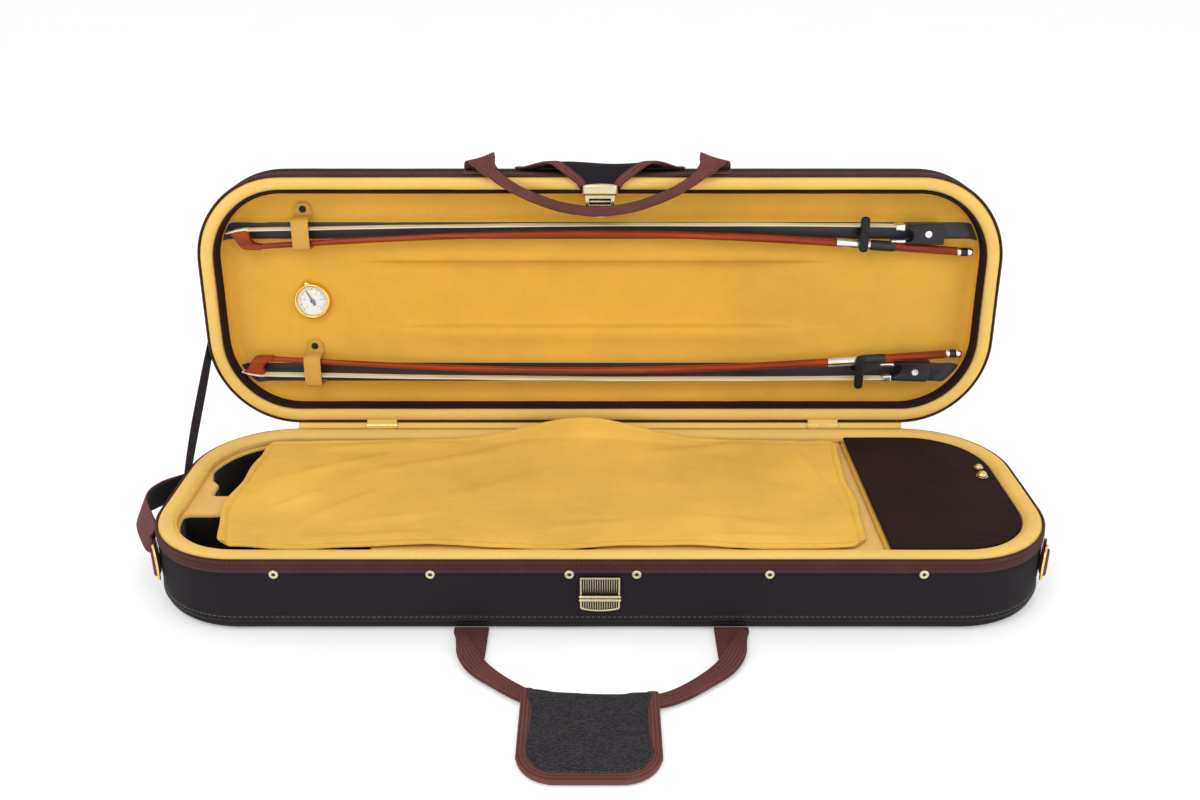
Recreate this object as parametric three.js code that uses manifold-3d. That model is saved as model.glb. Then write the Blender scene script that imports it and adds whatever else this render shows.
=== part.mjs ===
// An oblong violin case lying open, with two bows held in its lid.
// Millimetres, +Z up, the front towards -Y. The origin is the middle of the base's bottom face.
import * as THREE from 'three';
import { mergeVertices } from 'three/addons/utils/BufferGeometryUtils.js';
import Module from 'manifold-3d';

const wasm = await Module();
wasm.setup();

// Driving dimensions
const CASE_LENGTH = 800;
const CASE_WIDTH = 258;
const CORNER_RADIUS = 88;
const BASE_HEIGHT = 73; // floor to the top of the padded rim
const LID_DEPTH = 46;
const RIM_GAP = 1; // between the two rims when the lid is closed
const OPEN_ANGLE = 93.4; // degrees from closed, where the stay stops the lid
const GAP = 0.3; // between pieces that touch

// Walls and pads
const WALL = 10;
const LID_WALL = 15; // board and foam
const FLOOR_THICKNESS = 8;
const BASE_BEVEL = 9;
const LID_BEVEL = 12;
const TRIM_THICKNESS = 1.8;
const TRIM_HEIGHT = 13;
const PIPING = 3.6;
const BASE_RIM_WIDTH = 18.5;
const LID_RIM_THICKNESS = 10;
const RIM_BEVEL = 3.5;
const DECK_HEIGHT = 64; // top of the foam bed
const SEAL_THICKNESS = 3.2;
const LINER_DEPTH = 27; // lid rim to the face of the liner
const LINER_THICKNESS = 8.7;

// Derived places
const FRONT_Y = -CASE_WIDTH / 2;
const BACK_Y = CASE_WIDTH / 2;
const END_X = CASE_LENGTH / 2;
const HINGE_Y = BACK_Y + 2.5;
const HINGE_Z = BASE_HEIGHT + RIM_GAP / 2;
const LID_PLANE = BASE_HEIGHT + RIM_GAP; // the closed lid's rim
const LID_TOP = LID_PLANE + LID_DEPTH;
const LINER_Z = LID_PLANE + LINER_DEPTH; // the closed lid's liner, facing down
const BASE_RIM_BOTTOM = DECK_HEIGHT + GAP;
const BASE_TRIM_TOP = BASE_HEIGHT - 2;
const OPEN_TURN = THREE.MathUtils.degToRad(OPEN_ANGLE);

// Accessory compartment at the right end
const BOX_LEFT = 248;
const BOX_WALL = 6;
const ACCESSORY_LID_BOTTOM = 66;
const ACCESSORY_LID_THICKNESS = 6;

// Bows, along X: tip at the left, screw button at the right
const BOW_TIP_X = -358;
const BOW_END_X = 372;
const STICK_END_X = 357;
const FROG_X = 302;
const BOW_CAMBER = 16.5;
const BOW_DROP = 5; // the screw end lies this much further from the hair
const BOW_Z = LINER_Z - 13;
const HAIR_TIP_Y = 19;
const HAIR_FROG_Y = 22.5;
const HAIR_SLACK = 3.5;
const BOW_LINE = { upper: -54.5, lower: 61.5 }; // Y of each bow's tip, lid closed

function material(color, roughness, metalness = 0) {
  return new THREE.MeshStandardMaterial({ color, roughness, metalness });
}

const canvas = material(0x322e34, 0.9);
const webbing = material(0x5c3a35, 0.85);
const velvet = material(0xe5b04e, 0.95);
const darkVelvet = material(0x2a1c1a, 0.95);
const pipingVinyl = material(0x1c1a1c, 0.5);
const brass = material(0xc9a659, 0.3, 1);
const nickel = material(0xc8c8c8, 0.25, 1);
const blackPlastic = material(0x141414, 0.45);
const dialWhite = material(0xf2f2ee, 0.6);
const glass = material(0xffffff, 0.05);
const pernambuco = material(0xa8401c, 0.3);
const ebony = material(0x17151a, 0.4);
const horsehair = material(0xe4d8b4, 0.6);
const leather = material(0x1b1614, 0.6);

const violinCase = new THREE.Group();

// The closed lid is drawn in place over the base, then turned open about the hinge.
const lidHinge = new THREE.Group();
lidHinge.position.set(0, HINGE_Y, HINGE_Z);
lidHinge.rotation.x = -OPEN_TURN;
const lid = new THREE.Group();
lid.position.set(0, -HINGE_Y, -HINGE_Z);
lidHinge.add(lid);
violinCase.add(lidHinge);

function add(parent, name, geometry, finish) {
  const mesh = new THREE.Mesh(geometry, finish);
  mesh.name = name;
  parent.add(mesh);
  return mesh;
}

// A group for pieces that hang plumb from the open lid; they are drawn as they hang when it is closed.
function plumbGroup(pivotY, pivotZ) {
  const arm = pivotY - HINGE_Y;
  const rise = pivotZ - HINGE_Z;
  const openY = HINGE_Y + arm * Math.cos(OPEN_TURN) + rise * Math.sin(OPEN_TURN);
  const openZ = HINGE_Z - arm * Math.sin(OPEN_TURN) + rise * Math.cos(OPEN_TURN);
  const group = new THREE.Group();
  group.position.set(0, openY - pivotY, openZ - pivotZ);
  violinCase.add(group);
  return group;
}

// Solids from closed geometries, for cuts and joins
function solid(geometry) {
  const bare = geometry.index ? geometry.toNonIndexed() : geometry.clone();
  bare.deleteAttribute('normal');
  bare.deleteAttribute('uv');
  const merged = mergeVertices(bare, 1e-4);
  return new wasm.Manifold(new wasm.Mesh({
    numProp: 3,
    vertProperties: new Float32Array(merged.attributes.position.array),
    triVerts: new Uint32Array(merged.index.array),
  }));
}

function geometryOf(body) {
  const mesh = body.getMesh();
  const geometry = new THREE.BufferGeometry();
  geometry.setAttribute('position', new THREE.BufferAttribute(mesh.vertProperties, 3));
  geometry.setIndex(new THREE.BufferAttribute(mesh.triVerts, 1));
  geometry.computeVertexNormals();
  return geometry;
}

function cut(geometry, ...tools) {
  return geometryOf(tools.reduce((body, tool) => body.subtract(solid(tool)), solid(geometry)));
}

function join(...geometries) {
  return geometryOf(geometries.map(solid).reduce((body, next) => body.add(next)));
}

function overlap(geometry, region) {
  return geometryOf(solid(geometry).intersect(solid(region)));
}

// Basic shapes
function box(x0, x1, y0, y1, z0, z1) {
  const geometry = new THREE.BoxGeometry(x1 - x0, y1 - y0, z1 - z0);
  return geometry.translate((x0 + x1) / 2, (y0 + y1) / 2, (z0 + z1) / 2);
}

function roundedRect(length, width, radius) {
  const x = length / 2 - radius;
  const y = width / 2 - radius;
  const shape = new THREE.Shape();
  shape.absarc(x, y, radius, 0, Math.PI / 2);
  shape.absarc(-x, y, radius, Math.PI / 2, Math.PI);
  shape.absarc(-x, -y, radius, Math.PI, Math.PI * 1.5);
  shape.absarc(x, -y, radius, Math.PI * 1.5, Math.PI * 2);
  return shape;
}

function caseOutline(inset) {
  return roundedRect(CASE_LENGTH - 2 * inset, CASE_WIDTH - 2 * inset, CORNER_RADIUS - inset);
}

function slab(shape, bottom, top, bevel = 0, bevelSegments = 1, curveSegments = 4) {
  const geometry = new THREE.ExtrudeGeometry(shape, {
    depth: top - bottom - 2 * bevel,
    bevelEnabled: bevel > 0,
    bevelThickness: bevel,
    bevelSize: bevel,
    bevelOffset: -bevel,
    bevelSegments,
    curveSegments,
  });
  return geometry.translate(0, 0, bottom + bevel);
}

function ring(outerInset, innerInset, bottom, top, bevel = 0) {
  const shape = caseOutline(outerInset);
  shape.holes.push(caseOutline(innerInset));
  return slab(shape, bottom, top, bevel);
}

function polygon(points) {
  return new THREE.Shape(points.map(([x, y]) => new THREE.Vector2(x, y)));
}

function disc(radius, z0, z1, segments = 20) {
  const geometry = new THREE.CylinderGeometry(radius, radius, z1 - z0, segments);
  return geometry.rotateX(Math.PI / 2).translate(0, 0, (z0 + z1) / 2);
}

// A profile of [radius, height] turned about Z
function turned(profile, segments = 20) {
  const points = profile.map(([radius, height]) => new THREE.Vector2(radius, height));
  return new THREE.LatheGeometry(points, segments).rotateX(Math.PI / 2);
}

// A strap: a rectangle swept along a curve through the points, first size along the plane's normal
function strap(points, acrossPlane, inPlane, steps) {
  const path = new THREE.CatmullRomCurve3(points.map((point) => new THREE.Vector3(...point)));
  const x = acrossPlane / 2;
  const y = inPlane / 2;
  const section = polygon([[-x, -y], [x, -y], [x, y], [-x, y]]);
  return new THREE.ExtrudeGeometry(section, { extrudePath: path, steps });
}

function makeBase() {
  const wallTop = DECK_HEIGHT;
  const pipingBottom = BASE_BEVEL + 0.5;
  const trimBottom = BASE_TRIM_TOP - TRIM_HEIGHT;
  const shell = cut(
    slab(caseOutline(0), 0, BASE_HEIGHT + BASE_BEVEL, BASE_BEVEL, 2),
    box(-END_X - 1, END_X + 1, FRONT_Y - 1, BACK_Y + 1, wallTop, BASE_HEIGHT + 2 * BASE_BEVEL),
    slab(caseOutline(WALL), FLOOR_THICKNESS, BASE_HEIGHT),
    ring(-1, TRIM_THICKNESS + GAP, trimBottom - GAP, BASE_HEIGHT),
    ring(-1, PIPING - 1 + GAP, pipingBottom - GAP, pipingBottom + PIPING + GAP),
  );
  add(violinCase, 'base_shell', shell, canvas);
  add(violinCase, 'base_trim', ring(0, TRIM_THICKNESS, trimBottom, BASE_TRIM_TOP), webbing);
  const piping = ring(-1, PIPING - 1, pipingBottom, pipingBottom + PIPING, 1);
  add(violinCase, 'base_piping', piping, pipingVinyl);
  const rim = ring(TRIM_THICKNESS + GAP, BASE_RIM_WIDTH, BASE_RIM_BOTTOM, BASE_HEIGHT, RIM_BEVEL);
  add(violinCase, 'base_rim', rim, velvet);
}

// The foam bed: a body hollow, a neck trough to the front left corner and a pocket behind it
function makeBed() {
  const bedBottom = FLOOR_THICKNESS + GAP;
  const hollowBottom = 14;
  const above = DECK_HEIGHT + 10;
  const reach = BASE_RIM_WIDTH + 1;
  const inside = slab(caseOutline(reach), hollowBottom, above);
  const foam = overlap(
    slab(caseOutline(WALL + GAP), bedBottom, DECK_HEIGHT),
    box(-END_X, BOX_LEFT - GAP, FRONT_Y, BACK_Y, 0, above),
  );
  const lowerBout = disc(1, hollowBottom, above, 28).scale(92, 104, 1).translate(146, 2, 0);
  const upperBout = disc(1, hollowBottom, above, 24).scale(84, 84, 1).translate(-36, -18, 0);
  const waist = box(-20, 130, -84, 66, hollowBottom, above);
  const neck = box(-150, 150, -30, 30, hollowBottom, above).rotateZ(0.145).translate(-215, -48, 0);
  const scroll = box(-END_X, -200, FRONT_Y, -38, hollowBottom, above);
  const pocketOutline = polygon([
    [-150, 13], [-150, BACK_Y], [-348, BACK_Y], [-356, 97], [-384, 62], [-375, 30], [-366, 20],
    [-366, -2], [-330, -2],
  ]);
  const pocket = slab(pocketOutline, hollowBottom, above);
  const hollows = [lowerBout, upperBout, waist, neck, scroll, pocket];
  const bed = cut(foam, ...hollows.map((hollow) => overlap(hollow, inside)));
  add(violinCase, 'bed_foam', bed, velvet);
}

function makeAccessoryBox() {
  const boxBottom = FLOOR_THICKNESS + GAP;
  const right = box(BOX_LEFT, END_X, FRONT_Y, BACK_Y, 0, BASE_HEIGHT);
  const inner = box(BOX_LEFT + BOX_WALL, END_X, FRONT_Y, BACK_Y, 0, BASE_HEIGHT);
  const tray = cut(
    overlap(slab(caseOutline(WALL + GAP), boxBottom, DECK_HEIGHT), right),
    overlap(slab(caseOutline(BASE_RIM_WIDTH), boxBottom + BOX_WALL, BASE_HEIGHT), inner),
  );
  add(violinCase, 'accessory_box', tray, velvet);
  const lidTop = ACCESSORY_LID_BOTTOM + ACCESSORY_LID_THICKNESS;
  const board = slab(caseOutline(BASE_RIM_WIDTH + 0.8), ACCESSORY_LID_BOTTOM, lidTop, 1.5);
  const beyondHinge = box(BOX_LEFT + 2, END_X, FRONT_Y, BACK_Y, 0, BASE_HEIGHT);
  add(violinCase, 'accessory_lid', overlap(board, beyondHinge), darkVelvet);
  const knobProfile = [[0, 0], [6.5, 0], [6.5, 1.2], [2.4, 1.8], [2.4, 4.6], [5.2, 5.4], [4.6, 8], [0, 9]];
  const knob = add(violinCase, 'accessory_knob', turned(knobProfile), brass);
  knob.position.set(366, 20, lidTop + GAP);
}

function makeBlanket() {
  const blanket = slab(roundedRect(574, 206, 14), 66, 71, 2, 1, 3);
  add(violinCase, 'blanket', blanket.translate(-51, 0, 0), velvet);
}

// Lock on the front face, with its sliding catch
function makeLock() {
  const half = 17;
  const top = 56;
  const bottom = 22;
  const face = FRONT_Y - GAP;
  const outline = new THREE.Shape();
  outline.moveTo(-half, top);
  outline.lineTo(-half, bottom + 8);
  outline.quadraticCurveTo(-half, bottom, 0, bottom);
  outline.quadraticCurveTo(half, bottom, half, bottom + 8);
  outline.lineTo(half, top);
  const plate = slab(outline, 0, 2.4, 0.6, 1).rotateX(Math.PI / 2).translate(0, face, 0);
  const slot = box(-half + 3, half - 3, face - 3, face - 1.2, 32, 44);
  add(violinCase, 'lock_plate', cut(plate, slot), brass);
  const slide = box(-half + 3 + GAP, half - 3 - GAP, face - 3.2, face - 1.2 - GAP, 32 + GAP, 39);
  add(violinCase, 'lock_slide', slide, brass);
}

function makeStuds() {
  const places = [-276, -143.5, -26, 31, 143.5, 274];
  const profile = [[0, 0], [4.2, 0], [4.2, 0.7], [3.2, 1.7], [0, 2.1]];
  places.forEach((x, index) => {
    const stud = add(violinCase, `front_stud_${index + 1}`, turned(profile, 12), brass);
    stud.rotation.x = Math.PI / 2;
    stud.position.set(x, FRONT_Y - GAP, 57.5);
  });
}

// Webbing loop on the left end
function makeSideHandle() {
  const outer = -END_X - 25;
  const loop = strap([
    [-END_X + 0.2, 54, 46], [-END_X - 9, 50, 46], [outer, 22, 46],
    [outer - 1, -18, 46], [-END_X - 8, -58, 46], [-END_X + 1, -68, 46],
  ], 28, 2.4, 22);
  const caseSide = slab(caseOutline(-GAP - 1), 20, 80);
  add(violinCase, 'side_handle', cut(loop, caseSide), webbing);
}

// A D-ring held by a webbing tab beside each front corner
function makeRings() {
  const cornerX = END_X - CORNER_RADIUS;
  const cornerY = FRONT_Y + CORNER_RADIUS;
  const middle = 45;
  const barRadius = 1.2;
  const turn = THREE.MathUtils.degToRad(-27);
  for (const [side, sign] of [['left', -1], ['right', 1]]) {
    const mount = new THREE.Group();
    mount.position.set(sign * cornerX, cornerY, 0);
    mount.rotation.z = sign > 0 ? turn : Math.PI - turn;
    violinCase.add(mount);
    // here +X points out of the corner, and +Y to the front on the left side
    const strip = slab(roundedRect(4.4, 24, 2), middle - 13, middle + 13, 0, 1, 3);
    strip.translate(CORNER_RADIUS + 4.2, -1, 0);
    const bore = box(CORNER_RADIUS + 2.9, CORNER_RADIUS + 6.5, 6.3, 9.3, middle - 14, middle + 14);
    const tab = cut(strip, bore);
    const outline = new THREE.Shape();
    outline.moveTo(-barRadius, -17);
    outline.bezierCurveTo(18.5, -17, 18.5, 17, -barRadius, 17);
    const eye = new THREE.Path();
    eye.moveTo(barRadius, -14.6);
    eye.bezierCurveTo(15.5, -14.4, 15.5, 14.4, barRadius, 14.6);
    outline.holes.push(eye);
    const wire = slab(outline, -1.1, 1.1, 0.5, 1, 10);
    wire.rotateX(Math.PI / 2).rotateZ(Math.PI / 2).translate(CORNER_RADIUS + 4.7, 7.8, middle);
    if (sign > 0) {
      tab.rotateX(Math.PI).translate(0, 0, 2 * middle);
      wire.rotateX(Math.PI).translate(0, 0, 2 * middle);
    }
    add(mount, `d_tab_${side}`, tab, webbing);
    add(mount, `d_ring_${side}`, wire, brass);
  }
}

// Two brass butt hinges on the back
function makeHinges() {
  const leafThickness = 1.2;
  const knuckle = 2.2;
  const bore = 1.2;
  const leafY = BACK_Y + GAP;
  const hingeWidth = 31;
  const split = 10; // the middle knuckle belongs to the lid
  for (const [side, x] of [['left', -227.5], ['right', 232.5]]) {
    const barrel = (x0, x1, radius) => {
      const rod = new THREE.CylinderGeometry(radius, radius, x1 - x0, 16).rotateZ(Math.PI / 2);
      return rod.translate((x0 + x1) / 2, HINGE_Y, HINGE_Z);
    };
    const x0 = x - hingeWidth / 2;
    const x1 = x + hingeWidth / 2;
    const m0 = x - split / 2;
    const m1 = x + split / 2;
    const hole = barrel(x0 - 1, x1 + 1, bore);
    const baseLeaf = join(
      box(x0, x1, leafY, leafY + leafThickness, HINGE_Z - 26, HINGE_Z),
      barrel(x0, x1, knuckle),
    );
    const middle = box(m0 - GAP, m1 + GAP, leafY - 1, HINGE_Y + 4, HINGE_Z - 3, HINGE_Z + 3);
    add(violinCase, `hinge_${side}_base_leaf`, cut(baseLeaf, middle, hole), brass);
    const lidLeaf = join(
      box(x0, x1, leafY, leafY + leafThickness, HINGE_Z + 3, HINGE_Z + 26),
      box(m0, m1, leafY, leafY + leafThickness, HINGE_Z, HINGE_Z + 4),
      barrel(m0, m1, knuckle),
    );
    add(lid, `hinge_${side}_lid_leaf`, cut(lidLeaf, hole), brass);
    add(violinCase, `hinge_${side}_pin`, barrel(x0 - 0.5, x1 + 0.5, bore - GAP), nickel);
  }
}

// Ribbon from the base's left end to the lid's, which stops the lid
function makeStay() {
  const x = -END_X - 2;
  const foot = new THREE.Vector2(38, 66);
  const head = new THREE.Vector2(156, 160);
  const length = foot.distanceTo(head);
  const stay = add(violinCase, 'lid_stay', new THREE.BoxGeometry(1.2, length, 9), pipingVinyl);
  stay.position.set(x, (foot.x + head.x) / 2, (foot.y + head.y) / 2);
  stay.rotation.x = Math.atan2(head.y - foot.y, head.x - foot.x);
}

// Carrying handle of the base, lying forward on the floor
function makeBaseHandle() {
  const bottom = 0.3;
  const leg = (x) => box(x - 15, x + 15, -174, FRONT_Y - 3, bottom, bottom + 2.4);
  const low = bottom + 2;
  const web = strap([
    [-108, -166, low], [-96, -186, low], [-68, -214, low], [-44, -226, low],
    [28, -226, low], [52, -214, low], [92, -188, low], [112, -166, low],
  ], 4, 14, 30);
  add(violinCase, 'base_handle_strap', join(leg(-111), leg(113.5), web), webbing);
  const wrap = slab(roundedRect(110, 103, 14), bottom, bottom + 5, 1, 1, 4).translate(-8, -267.5, 0);
  const channel = box(-80, 70, -239, -210, 0, bottom + 4 + GAP);
  add(violinCase, 'base_handle_wrap', cut(wrap, channel), canvas);
}

function makeLidShell() {
  const wallBottom = LID_PLANE + LID_RIM_THICKNESS + GAP;
  const trimBottom = LID_PLANE + 1;
  const trimTop = trimBottom + TRIM_HEIGHT;
  const pipingTop = LID_TOP - LID_BEVEL - 0.5;
  const hollowTop = LINER_Z + LINER_THICKNESS + GAP;
  const shell = cut(
    slab(caseOutline(0), LID_PLANE - LID_BEVEL, LID_TOP, LID_BEVEL, 2),
    box(-END_X - 1, END_X + 1, FRONT_Y - 1, BACK_Y + 1, LID_PLANE - 2 * LID_BEVEL, wallBottom),
    slab(caseOutline(LID_WALL), LID_PLANE, hollowTop),
    ring(-1, TRIM_THICKNESS + GAP, LID_PLANE, trimTop + GAP),
    ring(-1, PIPING - 1 + GAP, pipingTop - PIPING - GAP, pipingTop + GAP),
  );
  add(lid, 'lid_shell', shell, canvas);
  add(lid, 'lid_trim', ring(0, TRIM_THICKNESS, trimBottom, trimTop), webbing);
  add(lid, 'lid_piping', ring(-1, PIPING - 1, pipingTop - PIPING, pipingTop, 1), pipingVinyl);
  const rimTop = LID_PLANE + LID_RIM_THICKNESS;
  const rim = ring(TRIM_THICKNESS + GAP, LID_WALL, LID_PLANE, rimTop, RIM_BEVEL);
  add(lid, 'lid_rim', rim, velvet);
}

// Velvet band down the inside of the lid's wall, and the padded liner behind it
function makeLidLining() {
  const inset = LID_WALL + GAP;
  const seal = ring(inset, inset + SEAL_THICKNESS, LID_PLANE + 1.5, LINER_Z - GAP);
  add(lid, 'lid_seal', seal, darkVelvet);
  const liner = slab(caseOutline(inset), LINER_Z, LINER_Z + LINER_THICKNESS);
  add(lid, 'lid_liner', liner, velvet);
}

// Dial hygrometer on the liner: local +Z points out of the liner into the hollow
function makeHygrometer() {
  const gauge = new THREE.Group();
  gauge.position.set(-295, HINGE_Y - 128, LINER_Z - GAP);
  gauge.rotation.x = Math.PI;
  lid.add(gauge);
  const caseProfile = [
    [0, 0], [18.5, 0], [18.5, 5.5], [17.5, 6.5], [15.5, 6.5], [15.5, 2], [0, 2],
  ];
  add(gauge, 'hygrometer_case', turned(caseProfile, 28), brass);
  add(gauge, 'hygrometer_dial', disc(15.1, 2.3, 3, 28), dialWhite);
  const needleOutline = polygon([[-1.5, -5], [1.5, -5], [0.4, 12], [-0.4, 12]]);
  const needle = join(slab(needleOutline, 3.4, 3.9), disc(2.4, 3.3, 4.2, 12));
  add(gauge, 'hygrometer_needle', needle.rotateZ(0.5), blackPlastic);
  add(gauge, 'hygrometer_glass', disc(15.1, 4.8, 5.8, 28), glass);
}

// Padded bridge over each bow near its tip, screwed to the liner by a tab
function makeBowClips() {
  const width = 17;
  const depth = 21.8; // how far the bridge stands off the liner
  const thick = 2.5;
  for (const [name, near, far] of [['upper', 183.5, 217], ['lower', 39.5, 73.5]]) {
    const tabEnd = far + 8;
    const profile = polygon([
      [near, 0], [near, depth], [far, depth], [far, thick], [tabEnd, thick], [tabEnd, 0],
      [far - thick, 0], [far - thick, depth - thick], [near + thick, depth - thick], [near + thick, 0],
    ]);
    const clip = add(lid, `bow_clip_${name}`, slab(profile, -width / 2, width / 2), velvet);
    // profile x runs from the hinge towards the lid's front, profile y off the liner
    clip.rotation.set(-Math.PI / 2, 0, -Math.PI / 2, 'ZXY');
    clip.position.set(-297, HINGE_Y, LINER_Z - GAP);
  }
}

// Turn button that holds a bow near its frog; its post stands between stick and hair
function makeTurnButtons() {
  for (const [name, x, v] of [['upper', 262, 201], ['lower', 268, 56.5]]) {
    const button = join(
      disc(3, 0, 21, 12),
      slab(roundedRect(8, 35, 3.9), 18.5, 23, 1, 1, 4),
    );
    const mesh = add(lid, `turn_button_${name}`, button, blackPlastic);
    mesh.rotation.x = Math.PI;
    mesh.position.set(x, HINGE_Y - v, LINER_Z - GAP);
  }
}

// Canvas flap on the lid's front wall; the hasp hangs from its narrow end
function makeLatch() {
  const face = FRONT_Y - GAP;
  const flapBottom = LID_PLANE - 2.5;
  const outline = polygon([[-80, 103], [-19, flapBottom], [19, flapBottom], [80, 103]]);
  const flap = slab(outline, 0, 2, 0.5, 1).rotateX(Math.PI / 2).translate(0, face, 0);
  add(lid, 'latch_flap', flap, canvas);
  const pivotZ = LID_PLANE - 4;
  const hang = plumbGroup(face - 3.6, pivotZ);
  const plateOutline = new THREE.Shape();
  plateOutline.moveTo(-14.5, 68);
  plateOutline.lineTo(-14.5, 40);
  plateOutline.absarc(0, 40, 14.5, Math.PI, 2 * Math.PI);
  plateOutline.lineTo(14.5, 68);
  plateOutline.holes.push(polygon([[-10, 38.5], [-10, 44.5], [10, 44.5], [10, 38.5]]));
  const plate = slab(plateOutline, 0, 1.5).rotateX(Math.PI / 2).translate(0, face - 3.6, 0);
  const clamp = slab(roundedRect(35, 12.5, 2), 0, 3, 0.6, 1, 3).rotateX(Math.PI / 2);
  add(hang, 'hasp', join(plate, clamp.translate(0, face - 2.8, 53.3)), brass);
}

// Carrying handle of the lid: two sewn tabs and the loop that droops between them
function makeLidHandle() {
  const face = FRONT_Y - GAP;
  for (const [side, x] of [['left', -118], ['right', 113]]) {
    const tab = slab(roundedRect(30, 26, 3), 0, 2, 0.5, 1, 3).rotateX(Math.PI / 2);
    add(lid, `lid_handle_tab_${side}`, tab.translate(x, face, LID_PLANE + 16), webbing);
  }
  const hang = plumbGroup(face - 6.7, LID_PLANE + 2);
  const middle = -2.5;
  const half = [
    [113, -136.3, 77], [106, -143.5, 75.5], [92, -149.3, 65], [72, -151.3, 54],
    [54, -151.3, 47], [33, -151.3, 40],
  ];
  const left = half.map(([x, y, z]) => [middle - x, y, z]);
  const right = half.map(([x, y, z]) => [middle + x, y, z]).reverse();
  const points = [...left, [middle, -151.3, 36.5], ...right];
  add(hang, 'lid_handle', strap(points, 5, 10, 44), webbing);
}

// The stick's line: its distance towards the hair at x
function stickY(x) {
  const u = (x - BOW_TIP_X) / (BOW_END_X - BOW_TIP_X);
  return BOW_CAMBER * Math.sin(Math.PI * u) - BOW_DROP * u;
}

function hairY(x) {
  const u = (x - BOW_TIP_X) / (BOW_END_X - BOW_TIP_X);
  return HAIR_TIP_Y + (HAIR_FROG_Y - HAIR_TIP_Y) * u + HAIR_SLACK * Math.sin(Math.PI * u);
}

// Shifts a geometry that runs along X onto a line in the XY plane
function follow(geometry, line) {
  const position = geometry.attributes.position;
  for (let i = 0; i < position.count; i += 1) {
    position.setY(i, position.getY(i) + line(position.getX(i)));
  }
  return geometry;
}

function rod(x0, x1, radius0, radius1, sides, steps) {
  const geometry = new THREE.CylinderGeometry(radius1, radius0, x1 - x0, sides, steps);
  return geometry.rotateZ(-Math.PI / 2).translate((x0 + x1) / 2, 0, 0);
}

// A bow: local +Y is the hair's side, +Z its playing width
function makeBow(name, turnedOver) {
  const bow = new THREE.Group();
  bow.position.set(0, BOW_LINE[name], BOW_Z);
  bow.rotation.x = turnedOver ? Math.PI : 0;
  lid.add(bow);
  const headOutline = polygon([
    [14, 3.6], [8, 9], [8, 18.6], [-11, 15.5], [-4, 5], [3, -3.2], [14, -2],
  ]);
  const head = slab(headOutline, -4.5, 4.5, 1, 1).translate(BOW_TIP_X, 0, 0);
  const shaft = follow(rod(BOW_TIP_X + 6, STICK_END_X, 2.8, 4.3, 8, 26), stickY);
  const stick = join(head, shaft);
  add(bow, `bow_${name}_stick`, stick, pernambuco);
  const hairStart = BOW_TIP_X + 8 + GAP;
  const hairLength = FROG_X - 1.5 - hairStart;
  const hair = new THREE.BoxGeometry(hairLength, 1, 10.5, 12, 1, 1);
  hair.translate(hairStart + hairLength / 2, 0, 0);
  add(bow, `bow_${name}_hair`, follow(hair, hairY), horsehair);
  const frogOutline = polygon([
    [1, 5.2], [39, 4.2], [40, 20], [36, 25.4], [-1, 25.4], [-1, 20],
  ]);
  const frog = slab(frogOutline, -6, 6, 1.2, 1).translate(FROG_X, 0, 0);
  add(bow, `bow_${name}_frog`, frog, ebony);
  const gripStart = FROG_X - 32;
  const gripEnd = FROG_X - 8;
  const bore = rod(gripStart - 1, gripEnd + 1, 4.6, 4.6, 12, 2);
  const sleeve = cut(rod(gripStart, gripEnd, 5.4, 5.4, 12, 2), bore);
  add(bow, `bow_${name}_grip`, follow(sleeve, stickY), leather);
  const button = rod(STICK_END_X + GAP, BOW_END_X + 2, 4.4, 4, 12, 1);
  add(bow, `bow_${name}_button`, follow(button, () => stickY(STICK_END_X + 8)), nickel);
}

makeBase();
makeBed();
makeAccessoryBox();
makeBlanket();
makeLock();
makeStuds();
makeSideHandle();
makeRings();
makeHinges();
makeStay();
makeBaseHandle();
makeLidShell();
makeLidLining();
makeHygrometer();
makeBowClips();
makeTurnButtons();
makeLatch();
makeLidHandle();
makeBow('upper', true);
makeBow('lower', false);

export default violinCase;
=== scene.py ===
import math

import bmesh
import bpy
import numpy as np
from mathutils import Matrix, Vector, noise


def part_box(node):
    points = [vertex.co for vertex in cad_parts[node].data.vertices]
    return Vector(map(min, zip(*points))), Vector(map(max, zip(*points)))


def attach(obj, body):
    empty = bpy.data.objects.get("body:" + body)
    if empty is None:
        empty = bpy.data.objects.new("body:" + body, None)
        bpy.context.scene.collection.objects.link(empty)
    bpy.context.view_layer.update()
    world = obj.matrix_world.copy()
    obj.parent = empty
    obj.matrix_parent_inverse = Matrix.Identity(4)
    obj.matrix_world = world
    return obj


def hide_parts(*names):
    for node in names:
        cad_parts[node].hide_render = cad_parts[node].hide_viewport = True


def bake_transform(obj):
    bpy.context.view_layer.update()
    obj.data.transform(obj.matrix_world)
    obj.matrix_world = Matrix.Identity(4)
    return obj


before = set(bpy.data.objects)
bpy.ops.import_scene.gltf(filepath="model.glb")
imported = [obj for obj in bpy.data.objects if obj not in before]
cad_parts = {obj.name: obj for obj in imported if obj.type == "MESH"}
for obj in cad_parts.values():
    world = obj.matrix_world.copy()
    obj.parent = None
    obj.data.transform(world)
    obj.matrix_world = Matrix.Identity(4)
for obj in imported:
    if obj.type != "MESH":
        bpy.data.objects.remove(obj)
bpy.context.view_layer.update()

# Every length below is in millimetres unless a name says otherwise; MM turns it to metres.
MM = 0.001
LENGTH, WIDTH, CORNER = 800.0, 258.0, 88.0
HINGE_Y, HINGE_Z = 131.5, 73.5
TURN = math.radians(93.4)
FRONT = -WIDTH / 2
LINER_Z = 101.0
CORNER_X, CORNER_Y = LENGTH / 2 - CORNER, WIDTH / 2 - CORNER
IN_LID = ("lid", "turn_button_upper", "turn_button_lower")
MIDDLE = CORNER + CORNER_Y
FAR = 1e3
UP = (0, 0, 1.0)
WRAP_X = -8.0
SWELL_FRAMES = 20


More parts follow.
